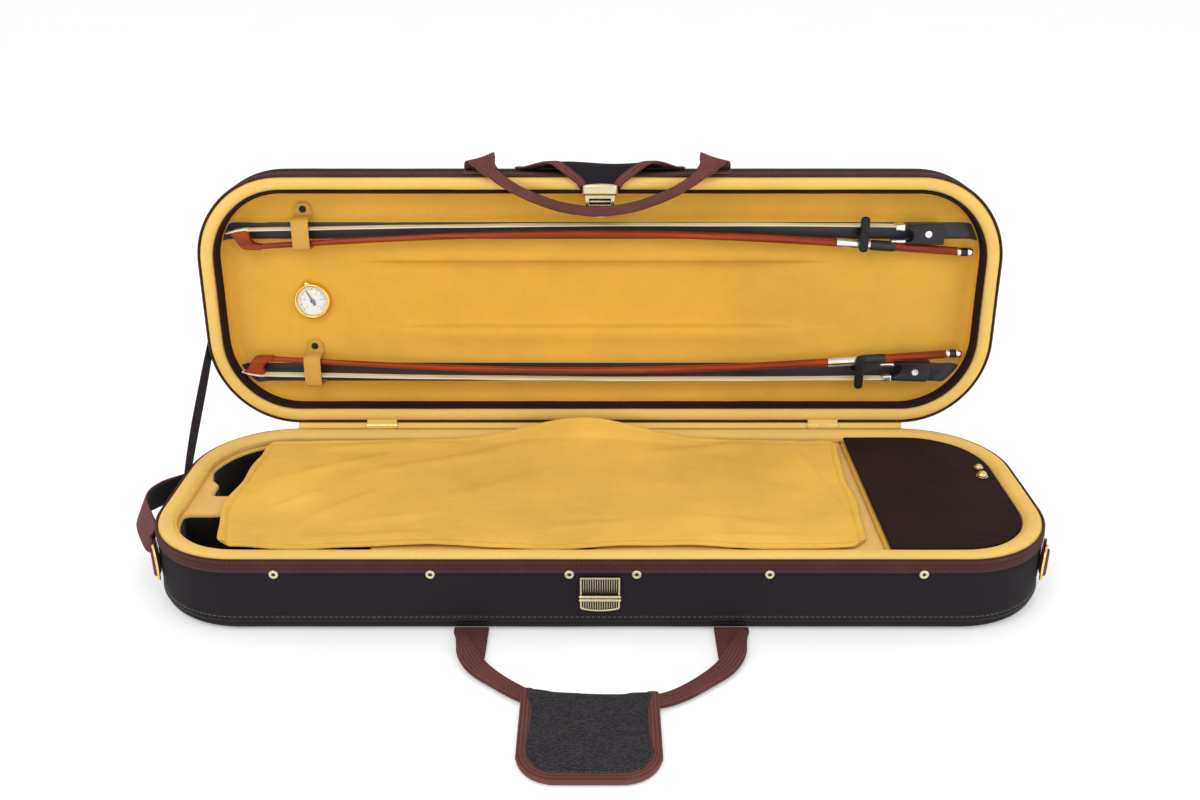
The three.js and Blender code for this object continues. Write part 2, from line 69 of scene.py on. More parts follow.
# ---------- geometry ----------
def run_along(points):
    """The distance along a line of points, from 0 at its start."""
    return np.concatenate([[0], np.cumsum(np.linalg.norm(np.diff(points, axis=0), axis=1))])


def opened(points):
    """Points of the closed lid, where they are with the lid open."""
    p = np.array(points, float).reshape(-1, 3)
    a, r = p[:, 1] - HINGE_Y, p[:, 2] - HINGE_Z
    y = HINGE_Y + a * math.cos(TURN) + r * math.sin(TURN)
    z = HINGE_Z - a * math.sin(TURN) + r * math.cos(TURN)
    return np.stack([p[:, 0], y, z], 1)


def plumb(pivot_y, pivot_z):
    """How far a piece that hangs from that point of the closed lid moves as the lid opens."""
    place = opened([(0, pivot_y, pivot_z)])[0]
    return np.array([0, place[1] - pivot_y, place[2] - pivot_z])


def smooth_noise(p, size, seed=0.0):
    """Noise from -1 to 1 at points in millimetres, with features of that size."""
    q = np.array(p, float).reshape(-1, 3) / size + seed
    return np.array([noise.noise(Vector(v)) for v in q])


def ripple(x, y, size, seed, stretch=1.0):
    """Smooth noise over two arrays of the same shape; stretch shortens its features along y."""
    flat = np.column_stack([x.ravel(), stretch * y.ravel(), 0 * x.ravel()])
    return smooth_noise(flat, size, seed).reshape(x.shape)


def smoothstep(x, lo, hi):
    t = np.clip((np.asarray(x, float) - lo) / (hi - lo), 0, 1)
    return t * t * (3 - 2 * t)


def grid(points, u, v, loop_u=False, loop_v=False):
    """Faces and corner UVs of an (n, m, 3) array of points."""
    n, m = points.shape[:2]
    faces, uvs = [], []
    for i in range(n if loop_u else n - 1):
        k = (i + 1) % n
        for j in range(m if loop_v else m - 1):
            l = (j + 1) % m
            faces.append((i * m + j, k * m + j, k * m + l, i * m + l))
            uvs += [(u[i], v[j]), (u[i + 1], v[j]), (u[i + 1], v[j + 1]), (u[i], v[j + 1])]
    return faces, uvs


def piece(name, verts, faces, finish, body, uvs, replaces=(), angle=50, weld=0.0):
    """A closed mesh that rides on a body; for a body in the lid, its points are those of the closed lid."""
    co = opened(verts) if body in IN_LID else np.array(verts, float).reshape(-1, 3)
    mesh = bpy.data.meshes.new(name)
    mesh.from_pydata((co * MM).tolist(), [], faces)
    layer = mesh.uv_layers.new(name="weave")
    layer.data.foreach_set("uv", (np.array(uvs) * MM).ravel())
    b = bmesh.new()
    b.from_mesh(mesh)
    if weld:
        bmesh.ops.remove_doubles(b, verts=b.verts, dist=weld * MM)
        bmesh.ops.dissolve_degenerate(b, edges=b.edges, dist=1e-6)
    bmesh.ops.recalc_face_normals(b, faces=b.faces)
    b.to_mesh(mesh)
    b.free()
    return settle(name, mesh, finish, body, replaces, angle)


def settle(name, mesh, finish, body, replaces=(), angle=50):
    obj = bpy.data.objects.new(name, mesh)
    bpy.context.scene.collection.objects.link(obj)
    mesh.shade_smooth()
    mesh.set_sharp_from_angle(angle=math.radians(angle))
    if finish:
        mesh.materials.append(finish)
    if body:
        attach(obj, body)
    if replaces:
        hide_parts(*([replaces] if isinstance(replaces, str) else replaces))
    return obj


def along_case(step=4.0, corner_steps=26):
    """The case's outline from the middle of its back: centres, and the directions out from them."""
    n_long, n_short = int(2 * CORNER_X / step), int(2 * CORNER_Y / step)
    centre, out = [], []

    def side(a, b, normal, n):
        for i in range(n):
            centre.append(a + (b - a) * i / n)
            out.append(normal)

    def corner(c, start):
        for i in range(corner_steps):
            t = math.radians(start + 90 * i / corner_steps)
            centre.append(c)
            out.append((math.cos(t), math.sin(t)))

    middle, *corners = [np.array([x * CORNER_X, y * CORNER_Y]) for x,
                        y in ((0, 1), (-1, 1), (-1, -1), (1, -1), (1, 1))]
    side(middle, corners[0], (0, 1), n_long // 2)
    corner(corners[0], 90)
    side(corners[0], corners[1], (-1, 0), n_short)
    corner(corners[1], 180)
    side(corners[1], corners[2], (0, -1), n_long)
    corner(corners[2], 270)
    side(corners[2], corners[3], (1, 0), n_short)
    corner(corners[3], 0)
    side(corners[3], middle, (0, 1), n_long // 2)
    return np.array(centre, float), np.array(out, float)


PATH_C, PATH_N = along_case()
edge = PATH_C + PATH_N * CORNER
PATH_U = run_along(np.vstack([edge, edge[:1]]))
OUTWARD = np.column_stack([PATH_N, 0 * PATH_N[:, 0]])


def row_at(inset, z):
    """The case outline moved in by inset; past the corner's radius it closes on the middle line."""
    if inset <= CORNER:
        xy = PATH_C + PATH_N * (CORNER - inset)
    else:
        t = min(1.0, (inset - CORNER) / CORNER_Y)
        x, y = PATH_C[:, 0], PATH_C[:, 1]
        xy = np.stack([x * (1 - t) + np.clip(x, -CORNER_X + 30, CORNER_X - 30) * t, y * (1 - t)], 1)
    return np.column_stack([xy, np.full(len(xy), float(z))])


def swept(name, profile, finish, body, closed=True, rough=0.0, size=40.0, seed=0.0, shape=None, **more):
    """A profile of (inset, z) swept round the case, with its faces pushed out and in by up to rough."""
    points = np.stack([row_at(i, z) for i, z in profile], 1)
    v = run_along(np.array(profile + ([profile[0]] if closed else []), float))
    flat = points.reshape(-1, 3)
    if rough:
        push = smooth_noise(flat, size, seed) * rough
        flat = flat + np.repeat(OUTWARD, points.shape[1], 0) * push[:, None]
    if shape is not None:
        flat = shape(flat)
    faces, uvs = grid(points, PATH_U, v, True, closed)
    return piece(name, flat, faces, finish, body, uvs, weld=0 if closed else 0.02, **more)


def arc(cx, cz, r, a0, a1, n):
    return [(cx + r * math.cos(math.radians(a0 + (a1 - a0) * i / n)),
             cz + r * math.sin(math.radians(a0 + (a1 - a0) * i / n))) for i in range(n + 1)]


def resample(points, count):
    """A smooth line through points, evenly spaced; values past a point's first three only follow along."""
    p = np.array(points, float)
    if len(p) == 2:
        return p[0] + (p[1] - p[0]) * np.linspace(0, 1, count)[:, None]
    full = np.vstack([2 * p[0] - p[1], p, 2 * p[-1] - p[-2]])
    fine = []
    for i in range(1, len(full) - 2):
        a, b, c, d = full[i - 1:i + 3]
        for t in np.linspace(0, 1, 24, endpoint=False):
            fine.append(0.5 * ((2 * b) + (c - a) * t + (2 * a - 5 * b + 4 * c - d) * t * t
                               + (3 * b - a - 3 * c + d) * t ** 3))
    fine = np.array(fine + [p[-1]])
    run = run_along(fine[:, :3])
    at = np.linspace(0, run[-1], count)
    return np.stack([np.interp(at, run, fine[:, k]) for k in range(fine.shape[1])], 1)


def section(power=5.0, n=20):
    """A rounded rectangle of half sizes 1, as n points."""
    t = np.linspace(0, 2 * math.pi, n, endpoint=False) + math.pi / n
    c, s = np.cos(t), np.sin(t)
    return np.stack([np.sign(c) * np.abs(c) ** (2 / power), np.sign(s) * np.abs(s) ** (2 / power)], 1)


def strap(name, points, width, thick, normal, finish, body, steps=60, power=5.0, sides=20, **more):
    """Webbing along a line; width, thick and the flat side's normal may vary from point to point."""
    n = len(points)
    wide = np.full(n, width) if np.isscalar(width) else np.array(width, float)
    deep = np.full(n, thick) if np.isscalar(thick) else np.array(thick, float)
    up = np.tile(normal, (n, 1)) if np.ndim(normal) == 1 else np.array(normal, float)
    line = resample(np.column_stack([np.array(points, float), wide, deep, up]), steps)
    at, w, d, up = line[:, :3], line[:, 3], line[:, 4], line[:, 5:8]
    tangent = np.gradient(at, axis=0)
    tangent /= np.linalg.norm(tangent, axis=1)[:, None]
    across = np.cross(up, tangent)
    across /= np.linalg.norm(across, axis=1)[:, None]
    out = np.cross(tangent, across)
    s = section(power, sides)
    ring = (at[:, None] + across[:, None] * (s[None, :, :1] * (w / 2)[:, None, None])
            + out[:, None] * (s[None, :, 1:] * (d / 2)[:, None, None]))
    run = run_along(at)
    around = np.concatenate([s[:, 0], s[:1, 0]]) * (w.max() / 2)
    faces, uvs = grid(ring, run, around, False, True)
    for end in (0, steps - 1):
        cap = [end * sides + j for j in range(sides)]
        faces.append(cap if end else cap[::-1])
        uvs += [(run[end], around[j]) for j in range(sides)]
    return piece(name, ring.reshape(-1, 3), faces, finish, body, uvs, **more)


def tube_parts(line, radius, sides=8, closed=False):
    """Points, faces and UVs of a round tube along a line of points, with flat ends unless it is closed."""
    p = np.array(line, float)
    n = len(p)
    r = np.full(n, radius) if np.isscalar(radius) else np.array(radius, float)
    tangent = np.roll(p, -1, 0) - np.roll(p, 1, 0) if closed else np.gradient(p, axis=0)
    tangent /= np.linalg.norm(tangent, axis=1)[:, None]
    ref = np.array([0.0, 0.0, 1.0]) if abs(tangent[:, 2]).max() < 0.9 else np.array([0.31, 0.95, 0.05])
    side = np.cross(tangent, ref)
    side /= np.linalg.norm(side, axis=1)[:, None]
    other = np.cross(tangent, side)
    t = np.linspace(0, 2 * math.pi, sides, endpoint=False)
    ring = p[:, None] + r[:, None, None] * (side[:, None] * np.cos(t)[None, :, None]
                                             + other[:, None] * np.sin(t)[None, :, None])
    run = run_along(np.vstack([p, p[:1]]))
    faces, uvs = grid(ring, run, np.linspace(0, 2 * math.pi * r.max(), sides + 1), closed, True)
    if not closed:
        for end in (0, n - 1):
            faces.append([end * sides + j for j in range(sides)])
            uvs += [(run[end], 0)] * sides
    return ring.reshape(-1, 3), faces, uvs


def merged(parts):
    """Several sets of points, faces and UVs as one."""
    verts, faces, uvs, base = [], [], [], 0
    for v, f, t in parts:
        verts.append(v)
        faces += [[i + base for i in face] for face in f]
        uvs += t
        base += len(v)
    return np.vstack(verts), faces, uvs


def made(name, parts, finish, body, **more):
    """The piece that points, faces and UVs make together."""
    verts, faces, uvs = parts
    return piece(name, verts, faces, finish, body, uvs, **more)


def tubes(name, lines, radius, finish, body, sides=8, closed=False, **more):
    return made(name, merged([tube_parts(line, radius, sides, closed) for line in lines]), finish, body,
                **more)


def lathed(name, profile, place, sides, finish, body, weld=0.005, **more):
    return made(name, lathe_parts(profile, place, sides), finish, body, weld=weld, **more)


def stitches(name, line, out, finish, body, pitch=4.4, long=3.0, radius=0.33, **more):
    """A row of thread stitches along a line; out is the direction away from the cloth at each point."""
    p, n = np.array(line, float), np.array(out, float)
    n = np.tile(n, (len(p), 1)) if n.ndim == 1 else n
    run = run_along(p)
    parts = []
    for s in np.arange(pitch * 0.5, run[-1] - long, pitch):
        at = s + np.array([0, 0.18, 0.5, 0.82, 1]) * long
        q = np.stack([np.interp(at, run, p[:, k]) for k in range(3)], 1)
        d = np.stack([np.interp(at, run, n[:, k]) for k in range(3)], 1)
        q += d * (np.array([-0.3, 0.12, 0.22, 0.12, -0.3]) * radius)[:, None]
        parts.append(tube_parts(q, radius * np.array([0.45, 0.95, 1, 0.95, 0.45]), 5))
    return made(name, merged(parts), finish, body, **more)


def pad(name, xy, top, bottom, finish, body, place=None, **more):
    """A closed piece between two heights over an (n, m, 2) grid; place maps local points to the frame."""
    n, m = xy.shape[:2]
    a = np.concatenate([xy, top[..., None]], 2)
    b = np.concatenate([xy, bottom[..., None]], 2)
    verts = np.vstack([a.reshape(-1, 3), b.reshape(-1, 3)])
    u, v = run_along(xy[:, m // 2]), run_along(xy[n // 2])
    faces, uvs = grid(a, u, v)
    shift = n * m
    faces += [[i + shift for i in f[::-1]] for f in faces]
    uvs = uvs + [uvs[4 * k + c] for k in range(len(uvs) // 4) for c in (3, 2, 1, 0)]
    ring = ([(i, 0) for i in range(n)] + [(n - 1, j) for j in range(1, m)]
            + [(i, m - 1) for i in range(n - 2, -1, -1)] + [(0, j) for j in range(m - 2, 0, -1)])
    for (i, j), (k, l) in zip(ring, ring[1:] + ring[:1]):
        p, q = i * m + j, k * m + l
        faces.append((p, p + shift, q + shift, q))
        uvs += [(u[i], v[j]), (u[i], v[j]), (u[k], v[l]), (u[k], v[l])]
    if place is not None:
        verts = place(verts)
    return piece(name, verts, faces, finish, body, uvs, **more)


def plate(name, outlines, z0, z1, bevel, finish, body, place=None, segments=3, **more):
    """A flat piece cut from closed outlines, the first outside and the rest holes, with rounded edges."""
    curve = bpy.data.curves.new(name, "CURVE")
    curve.dimensions = "2D"
    curve.fill_mode = "BOTH"
    curve.extrude = (z1 - z0) / 2 - bevel
    curve.bevel_depth = bevel
    curve.bevel_resolution = segments
    curve.offset = -bevel
    for outline in outlines:
        spline = curve.splines.new("POLY")
        spline.points.add(len(outline) - 1)
        for point, (x, y) in zip(spline.points, outline):
            point.co = (x, y, 0, 1)
        spline.use_cyclic_u = True
    verts, faces = mesh_parts(curve)
    verts[:, 2] += (z0 + z1) / 2
    uvs = [tuple(verts[i, :2]) for f in faces for i in f]
    if place is not None:
        verts = place(verts)
    return piece(name, verts, faces, finish, body, uvs, weld=0.01, **more)


def rounded(corners, radius, n=6):
    """A polygon with its corners rounded; radius may be one number or one for each corner."""
    c = [np.array(p, float) for p in corners]
    r = [radius] * len(c) if np.isscalar(radius) else radius
    out = []
    for i, p in enumerate(c):
        a, b = c[i - 1], c[(i + 1) % len(c)]
        if r[i] <= 0:
            out.append(tuple(p))
            continue
        u, v = (a - p) / np.linalg.norm(a - p), (b - p) / np.linalg.norm(b - p)
        half = math.acos(np.clip(u @ v, -1, 1)) / 2
        back = min(r[i] / math.tan(half), np.linalg.norm(a - p) * 0.48, np.linalg.norm(b - p) * 0.48)
        p0, p1 = p + u * back, p + v * back
        for t in np.linspace(0, 1, n + 1):
            out.append(tuple((1 - t) ** 2 * p0 + 2 * t * (1 - t) * p + t * t * p1))
    return out


def rect(x0, x1, y0, y1, radius, n=6):
    return rounded([(x0, y0), (x1, y0), (x1, y1), (x0, y1)], radius, n)


def lathe_parts(profile, place, sides=36):
    """A profile of (radius, height) turned about local +Z, from axis to axis."""
    prof = np.array(profile, float)
    t = np.linspace(0, 2 * math.pi, sides, endpoint=False)
    ring = np.stack([np.outer(np.cos(t), prof[:, 0]), np.outer(np.sin(t), prof[:, 0]),
                     np.tile(prof[:, 1], (sides, 1))], 2)
    around = np.linspace(0, 2 * math.pi * prof[:, 0].max(), sides + 1)
    faces, uvs = grid(ring, around, run_along(prof), True, False)
    return place(ring.reshape(-1, 3)), faces, uvs


def mesh_parts(curve):
    """The points and faces of a curve or text, which is removed."""
    holder = bpy.data.objects.new(curve.name, curve)
    mesh = bpy.data.meshes.new_from_object(holder)
    verts = np.array([v.co for v in mesh.vertices], float).reshape(-1, 3)
    faces = [list(p.vertices) for p in mesh.polygons]
    bpy.data.meshes.remove(mesh)
    bpy.data.objects.remove(holder)
    bpy.data.curves.remove(curve)
    return verts, faces


def facing_front(x, y, z):
    """Local +Z points to the front, local +Y up."""
    return lambda p: np.stack([x + p[:, 0], y - p[:, 2], z + p[:, 1]], 1)


def on_liner(x, v, z=LINER_Z):
    """Local +Z points out of the liner, local +Y away from the hinge; still in the closed lid's place."""
    return lambda p: np.stack([x + p[:, 0], HINGE_Y - v - p[:, 1], z - p[:, 2]], 1)


def bent_sheet(path, steps=40):
    """A place for pad whose local y runs along a bent (y, z) path, and that path's length."""
    line = resample(path, steps)
    slope = np.gradient(line, axis=0)
    slope /= np.linalg.norm(slope, axis=1)[:, None]
    run = run_along(line)

    def place(p):
        y, z, dy, dz = (np.interp(p[:, 1], run, c) for c in (line[:, 0], line[:, 1], slope[:, 0],
                                                             slope[:, 1]))
        return np.stack([p[:, 0], y - dz * p[:, 2], z + dy * p[:, 2]], 1)

    return place, run[-1]


# ---------- materials ----------
class Nodes:
    def __init__(self, name):
        self.mat = bpy.data.materials.new(name)
        self.mat.use_nodes = True
        self.tree = self.mat.node_tree
        self.bsdf = self.tree.nodes["Principled BSDF"]

    def add(self, kind, ins=None, **props):
        node = self.tree.nodes.new(kind)
        for k, v in props.items():
            setattr(node, k, v)
        for k, v in (ins or {}).items():
            self.put(node, k, v)
        return node

    def put(self, node, key, value):
        socket = node.inputs[key]
        if isinstance(value, bpy.types.NodeSocket):
            self.tree.links.new(value, socket)
        elif isinstance(value, bpy.types.Node):
            self.tree.links.new(value.outputs[0], socket)
        else:
            socket.default_value = value

    def set(self, **values):
        for k, v in values.items():
            self.put(self.bsdf, k.replace("_", " "), v)

    def coords(self, scale=(1, 1, 1), uv=False):
        source = self.add("ShaderNodeTexCoord").outputs["UV" if uv else "Object"]
        return self.add("ShaderNodeMapping", {"Vector": source, "Scale": scale})

    def noise(self, scale, detail=3.0, stretch=(1, 1, 1), rough=0.55):
        ins = {"Vector": self.coords(stretch), "Scale": scale, "Detail": detail, "Roughness": rough}
        return self.add("ShaderNodeTexNoise", ins).outputs["Fac"]

    def math(self, op, a, b=0.0):
        node = self.add("ShaderNodeMath", operation=op)
        self.put(node, 0, a)
        self.put(node, 1, b)
        return node.outputs[0]

    def ramp(self, fac, *stops):
        node = self.add("ShaderNodeValToRGB", {"Fac": fac})
        while len(node.color_ramp.elements) < len(stops):
            node.color_ramp.elements.new(0.5)
        for e, (pos, col) in zip(node.color_ramp.elements, stops):
            e.position, e.color = pos, (*col, 1)
        return node.outputs["Color"]

    def mix(self, fac, a, b, blend="MIX"):
        node = self.add("ShaderNodeMix", data_type="RGBA", blend_type=blend)
        self.put(node, "Factor", fac)
        for key, value in ((6, a), (7, b)):
            socket = node.inputs[key]
            if isinstance(value, bpy.types.NodeSocket):
                self.tree.links.new(value, socket)
            else:
                socket.default_value = (*value, 1)
        return node.outputs[2]

    def bump(self, height, distance, strength=1.0, after=None):
        node = self.add("ShaderNodeBump", {"Height": height, "Distance": distance, "Strength": strength})
        if after is not None:
            self.put(node, "Normal", after)
        return node.outputs["Normal"]


def srgb(r, g, b):
    f = lambda c: c / 255 / 12.92 if c <= 10 else ((c / 255 + 0.055) / 1.055) ** 2.4
    return (f(r), f(g), f(b))


def velvet(name, colour, sheen=0.12, depth=0.10, speckle=0.9):
    """Short pile: broad mottling and lighter nap streaks painted as the pile's sheen, a fine speckle and a
    pale sheen.
    """
    n = Nodes(name)
    shade = lambda k: tuple(min(1.0, c * k) for c in colour)
    nap = n.noise(55, 3, (1, 2.2, 1.6))
    pile = n.noise(1500, 2)
    # The broad ramp and the lighter nap streaks are painted sheen: patches of pile that catch more or less
    # light. depth sets how strong that painted sheen is.
    base = n.ramp(n.noise(9, 3), (0.3, shade(1 - depth)), (0.7, shade(1 + depth)))
    base = n.mix(n.math("MULTIPLY", n.math("SUBTRACT", nap, 0.45), 0.6), base, shade(1 + 2 * depth))
    base = n.mix(n.math("MULTIPLY", n.math("SUBTRACT", 0.62, pile), speckle), base, shade(0.5))
    height = n.bump(nap, 0.001, 0.2)
    n.set(Base_Color=base, Roughness=0.92, Normal=n.bump(pile, 0.0006, 0.5, height))
    n.set(Specular_IOR_Level=0.1, Sheen_Weight=sheen, Sheen_Roughness=0.4, Sheen_Tint=(*shade(1.2), 1))
    return n.mat


def weave_height(n, pitch, uv=False):
    """A twill: fine diagonal wales crossed by a finer rib."""
    at = n.coords((1 / pitch,) * 3, uv)
    bands = {"wave_type": "BANDS", "bands_direction": "DIAGONAL"}
    wale = {"Vector": at, "Scale": 0.31, "Distortion": 0.4, "Detail": 1.0, "Detail Scale": 2.0}
    a = n.add("ShaderNodeTexWave", wale, **bands).outputs["Fac"]
    turned = n.add("ShaderNodeMapping", {"Vector": at.outputs[0], "Rotation": (0.0, 0.0, 1.57)})
    tilted = n.add("ShaderNodeMapping", {"Vector": turned.outputs[0], "Rotation": (1.57, 0.0, 0.0)})
    rib = {"Vector": tilted.outputs[0], "Scale": 0.62, "Distortion": 0.3}
    b = n.add("ShaderNodeTexWave", rib, **bands).outputs["Fac"]
    return n.math("ADD", n.math("MULTIPLY", a, 0.65), n.math("MULTIPLY", b, 0.35))


def canvas_cloth(name, colour, light, pitch=0.0008):
    """A fuzzy twill of one colour, painted lighter where the threads stand up as a highlight on the raised
    threads.
    """
    n = Nodes(name)
    h = weave_height(n, pitch)
    # Painted highlight: the raised threads of the weave are mixed towards the light colour.
    base = n.mix(n.math("MULTIPLY", h, 0.5), colour, light)
    base = n.mix(n.math("MULTIPLY", n.math("SUBTRACT", n.noise(25, 5), 0.5), 0.5), base, light)
    fuzz = n.bump(n.noise(900, 2), 0.0002, 0.5)
    n.set(Base_Color=base, Roughness=0.85, Normal=n.bump(h, 0.0004, 0.6, fuzz))
    n.set(Specular_IOR_Level=0.12, Sheen_Weight=0.02, Sheen_Roughness=0.5)
    return n.mat


def flecked_cloth(name, dark, mid, pale):
    """A coarse weave of short picks, some of them pale."""
    n = Nodes(name)
    colours = {"Color1": (*mid, 1), "Color2": (*pale, 1), "Mortar": (*dark, 1)}
    sizes = {"Scale": 1.0, "Mortar Size": 0.00022, "Mortar Smooth": 0.3, "Brick Width": 0.0024,
             "Row Height": 0.0011}
    brick = n.add("ShaderNodeTexBrick", {"Vector": n.coords(), **colours, **sizes}, offset=0.5)
    base = n.mix(n.math("MULTIPLY", n.noise(500, 3), 0.5), brick.outputs["Color"], dark)
    fuzz = n.bump(n.noise(900, 2), 0.0002, 0.5)
    picks = n.math("SUBTRACT", 1.0, brick.outputs["Fac"])
    n.set(Base_Color=base, Roughness=0.85, Normal=n.bump(picks, 0.0005, 0.7, fuzz))
    n.set(Specular_IOR_Level=0.15, Sheen_Weight=0.03, Sheen_Roughness=0.5)
    return n.mat


def ribbed_webbing(name, colour, light, channel=0.003, pick=0.0011):
    """Webbing by its UVs: channels along its length, crossed by fine picks, with the raised ribs and picks
    painted lighter as a highlight.
    """
    n = Nodes(name)
    parts = n.add("ShaderNodeSeparateXYZ", {"Vector": n.add("ShaderNodeTexCoord").outputs["UV"]})
    along, across = parts.outputs[0], parts.outputs[1]
    row = n.math("MULTIPLY", across, math.pi / channel)
    ridge = n.math("ABSOLUTE", n.math("SINE", row))
    column = n.math("MULTIPLY", n.math("SIGN", n.math("SINE", row)), math.pi / 2)
    picks = n.math("SINE", n.math("ADD", n.math("MULTIPLY", along, 2 * math.pi / pick), column))
    h = n.math("ADD", n.math("MULTIPLY", ridge, 0.7), n.math("MULTIPLY", picks, 0.22))
    # Painted highlight: the ribs and picks are mixed towards the light colour where they stand up.
    base = n.mix(n.math("MULTIPLY", n.math("MAXIMUM", h, 0.0), 0.6), colour, light)
    base = n.mix(n.math("MULTIPLY", n.math("SUBTRACT", n.noise(40, 4), 0.45), 0.8), base, light)
    fuzz = n.bump(n.noise(1100, 2), 0.0002, 0.4)
    n.set(Base_Color=base, Roughness=0.78, Normal=n.bump(h, 0.0006, 0.7, fuzz))
    n.set(Specular_IOR_Level=0.12, Sheen_Weight=0.04, Sheen_Roughness=0.5)
    return n.mat


def metal(name, colour, dark, rough=0.22):
    """Finely brushed metal with duller patches."""
    n = Nodes(name)
    brushed = n.noise(1600, 2, (1, 1, 0.12))
    n.set(Base_Color=n.mix(n.math("MULTIPLY", n.noise(45, 3), 0.45), colour, dark), Metallic=1.0)
    n.set(Roughness=n.math("ADD", n.math("MULTIPLY", brushed, 0.14), rough - 0.07))
    n.set(Normal=n.bump(brushed, 0.00002, 0.5))
    return n.mat


def plain(name, colour, other, rough, scale=200, bump=0.0001, spec=0.5, coat=0.0, stretch=(1, 1, 1)):
    """A smooth material that drifts between two colours."""
    n = Nodes(name)
    f = n.noise(scale, 4, stretch)
    n.set(Base_Color=n.ramp(f, (0.35, colour), (0.7, other)), Roughness=rough, Specular_IOR_Level=spec)
    n.set(Coat_Weight=coat, Coat_Roughness=0.08)
    n.set(Normal=n.bump(n.noise(scale * 3, 3, stretch), bump, 0.6))
    return n.mat


GOLD = velvet("gold_velvet", srgb(230, 183, 82), depth=0.15)
LINER = velvet("liner_cloth", srgb(228, 175, 70), 0.08)
RIM = velvet("rim_velvet", srgb(238, 196, 110), depth=0.06)
CLIP = velvet("clip_cloth", srgb(208, 160, 76), 0.08)
BROWN = velvet("brown_velvet", srgb(40, 26, 25), 0.03, 0.25)
CANVAS = canvas_cloth("canvas", srgb(24, 21, 25), srgb(50, 46, 53))
GRIP_CLOTH = flecked_cloth("grip_cloth", srgb(28, 26, 30), srgb(50, 47, 52), srgb(88, 84, 90))
WEBBING = ribbed_webbing("webbing", srgb(73, 37, 35), srgb(141, 90, 85))
TRIM = ribbed_webbing("trim_webbing", srgb(49, 26, 25), srgb(100, 60, 55), 0.0026)
PIPING = plain("piping_vinyl", srgb(13, 11, 13), srgb(27, 24, 27), 0.45, 90, 0.0002, spec=0.2)
RIBBON = canvas_cloth("stay_ribbon", srgb(30, 27, 30), srgb(70, 65, 68), 0.0011)
BAND = plain("band_satin", srgb(30, 31, 38), srgb(52, 53, 64), 0.45, 60, 0.0004, stretch=(0.2, 1, 1))
BRASS = metal("brass", (0.80, 0.62, 0.30), (0.52, 0.37, 0.14))
PALE_BRASS = metal("pale_brass", (0.72, 0.63, 0.41), (0.46, 0.39, 0.22), 0.28)
# Near-black brass: painted dark reflection behind the lock's flutes and painted shade in the studs' centres;
# also used for the clip washers.
DARK_BRASS = metal("dark_brass", (0.055, 0.05, 0.04), (0.02, 0.02, 0.018), 0.4)
GILT = metal("gilt", (0.93, 0.66, 0.20), (0.70, 0.45, 0.10), 0.18)
NICKEL = metal("nickel", (0.74, 0.74, 0.73), (0.55, 0.55, 0.55), 0.2)
SILVER = metal("silver", (0.84, 0.83, 0.80), (0.66, 0.64, 0.60), 0.22)
BLACK = plain("black_plastic", srgb(10, 10, 11), srgb(22, 22, 24), 0.4, 160, spec=0.3)
SHADE = plain("dark_hollow", srgb(8, 7, 8), srgb(20, 17, 18), 0.9, 160)
DIAL = plain("dial_card", srgb(244, 244, 240), srgb(232, 233, 230), 0.5, 300, 0.00003)
INK = plain("dial_ink", srgb(25, 25, 28), srgb(50, 50, 55), 0.6, 300, 0.00003)
THREAD = plain("thread_brown", srgb(78, 48, 42), srgb(118, 78, 68), 0.7, 900, 0.0002)
PALE_THREAD = plain("thread_pale", srgb(96, 79, 58), srgb(134, 112, 80), 0.7, 900, 0.0002)
GOLD_THREAD = plain("thread_gold", srgb(214, 158, 66), srgb(242, 192, 98), 0.7, 900, 0.0002)
EBONY = plain("ebony", srgb(17, 15, 18), srgb(40, 36, 40), 0.36, 90, spec=0.3, coat=0.12,
              stretch=(0.15, 1, 1))
LEATHER = plain("grip_leather", srgb(20, 17, 17), srgb(44, 38, 37), 0.45, 500, 0.0004)
IVORY = plain("tip_ivory", srgb(240, 232, 210), srgb(226, 214, 186), 0.3, 200)


def pernambuco():
    n = Nodes("stick_wood")
    grain = n.noise(160, 6, (0.05, 1, 1), 0.65)
    fleck = n.noise(700, 2, (0.12, 1, 1))
    base = n.ramp(grain, (0.3, srgb(92, 26, 2)), (0.5, srgb(146, 47, 3)), (0.75, srgb(176, 70, 8)))
    base = n.mix(n.math("MULTIPLY", n.math("SUBTRACT", fleck, 0.5), 0.6), base, srgb(70, 20, 8))
    n.set(Base_Color=base, Roughness=0.4, Coat_Weight=0.15, Coat_Roughness=0.12, Specular_IOR_Level=0.25,
          Normal=n.bump(grain, 0.0001, 0.5))
    return n.mat


def hair_strands():
    n = Nodes("horsehair")
    strand = n.noise(1600, 3, (0.004, 1, 1))
    base = n.ramp(strand, (0.3, srgb(186, 166, 122)), (0.55, srgb(232, 220, 186)),
                  (0.8, srgb(250, 243, 220)))
    n.set(Base_Color=base, Roughness=0.42, Normal=n.bump(strand, 0.0003, 0.8), Specular_IOR_Level=0.5)
    return n.mat


def pearl():
    n = Nodes("pearl")
    f = n.noise(420, 3)
    base = n.ramp(f, (0.35, srgb(214, 226, 222)), (0.5, srgb(240, 236, 240)), (0.65, srgb(226, 208, 224)))
    n.set(Base_Color=base, Roughness=0.15, Coat_Weight=0.6, Normal=n.bump(f, 0.0001, 0.5))
    return n.mat


def clear_glass():
    n = Nodes("glass")
    n.set(Base_Color=(1, 1, 1, 1), Roughness=n.math("MULTIPLY", n.noise(90, 2), 0.04), Alpha=0.12, IOR=1.45)
    return n.mat


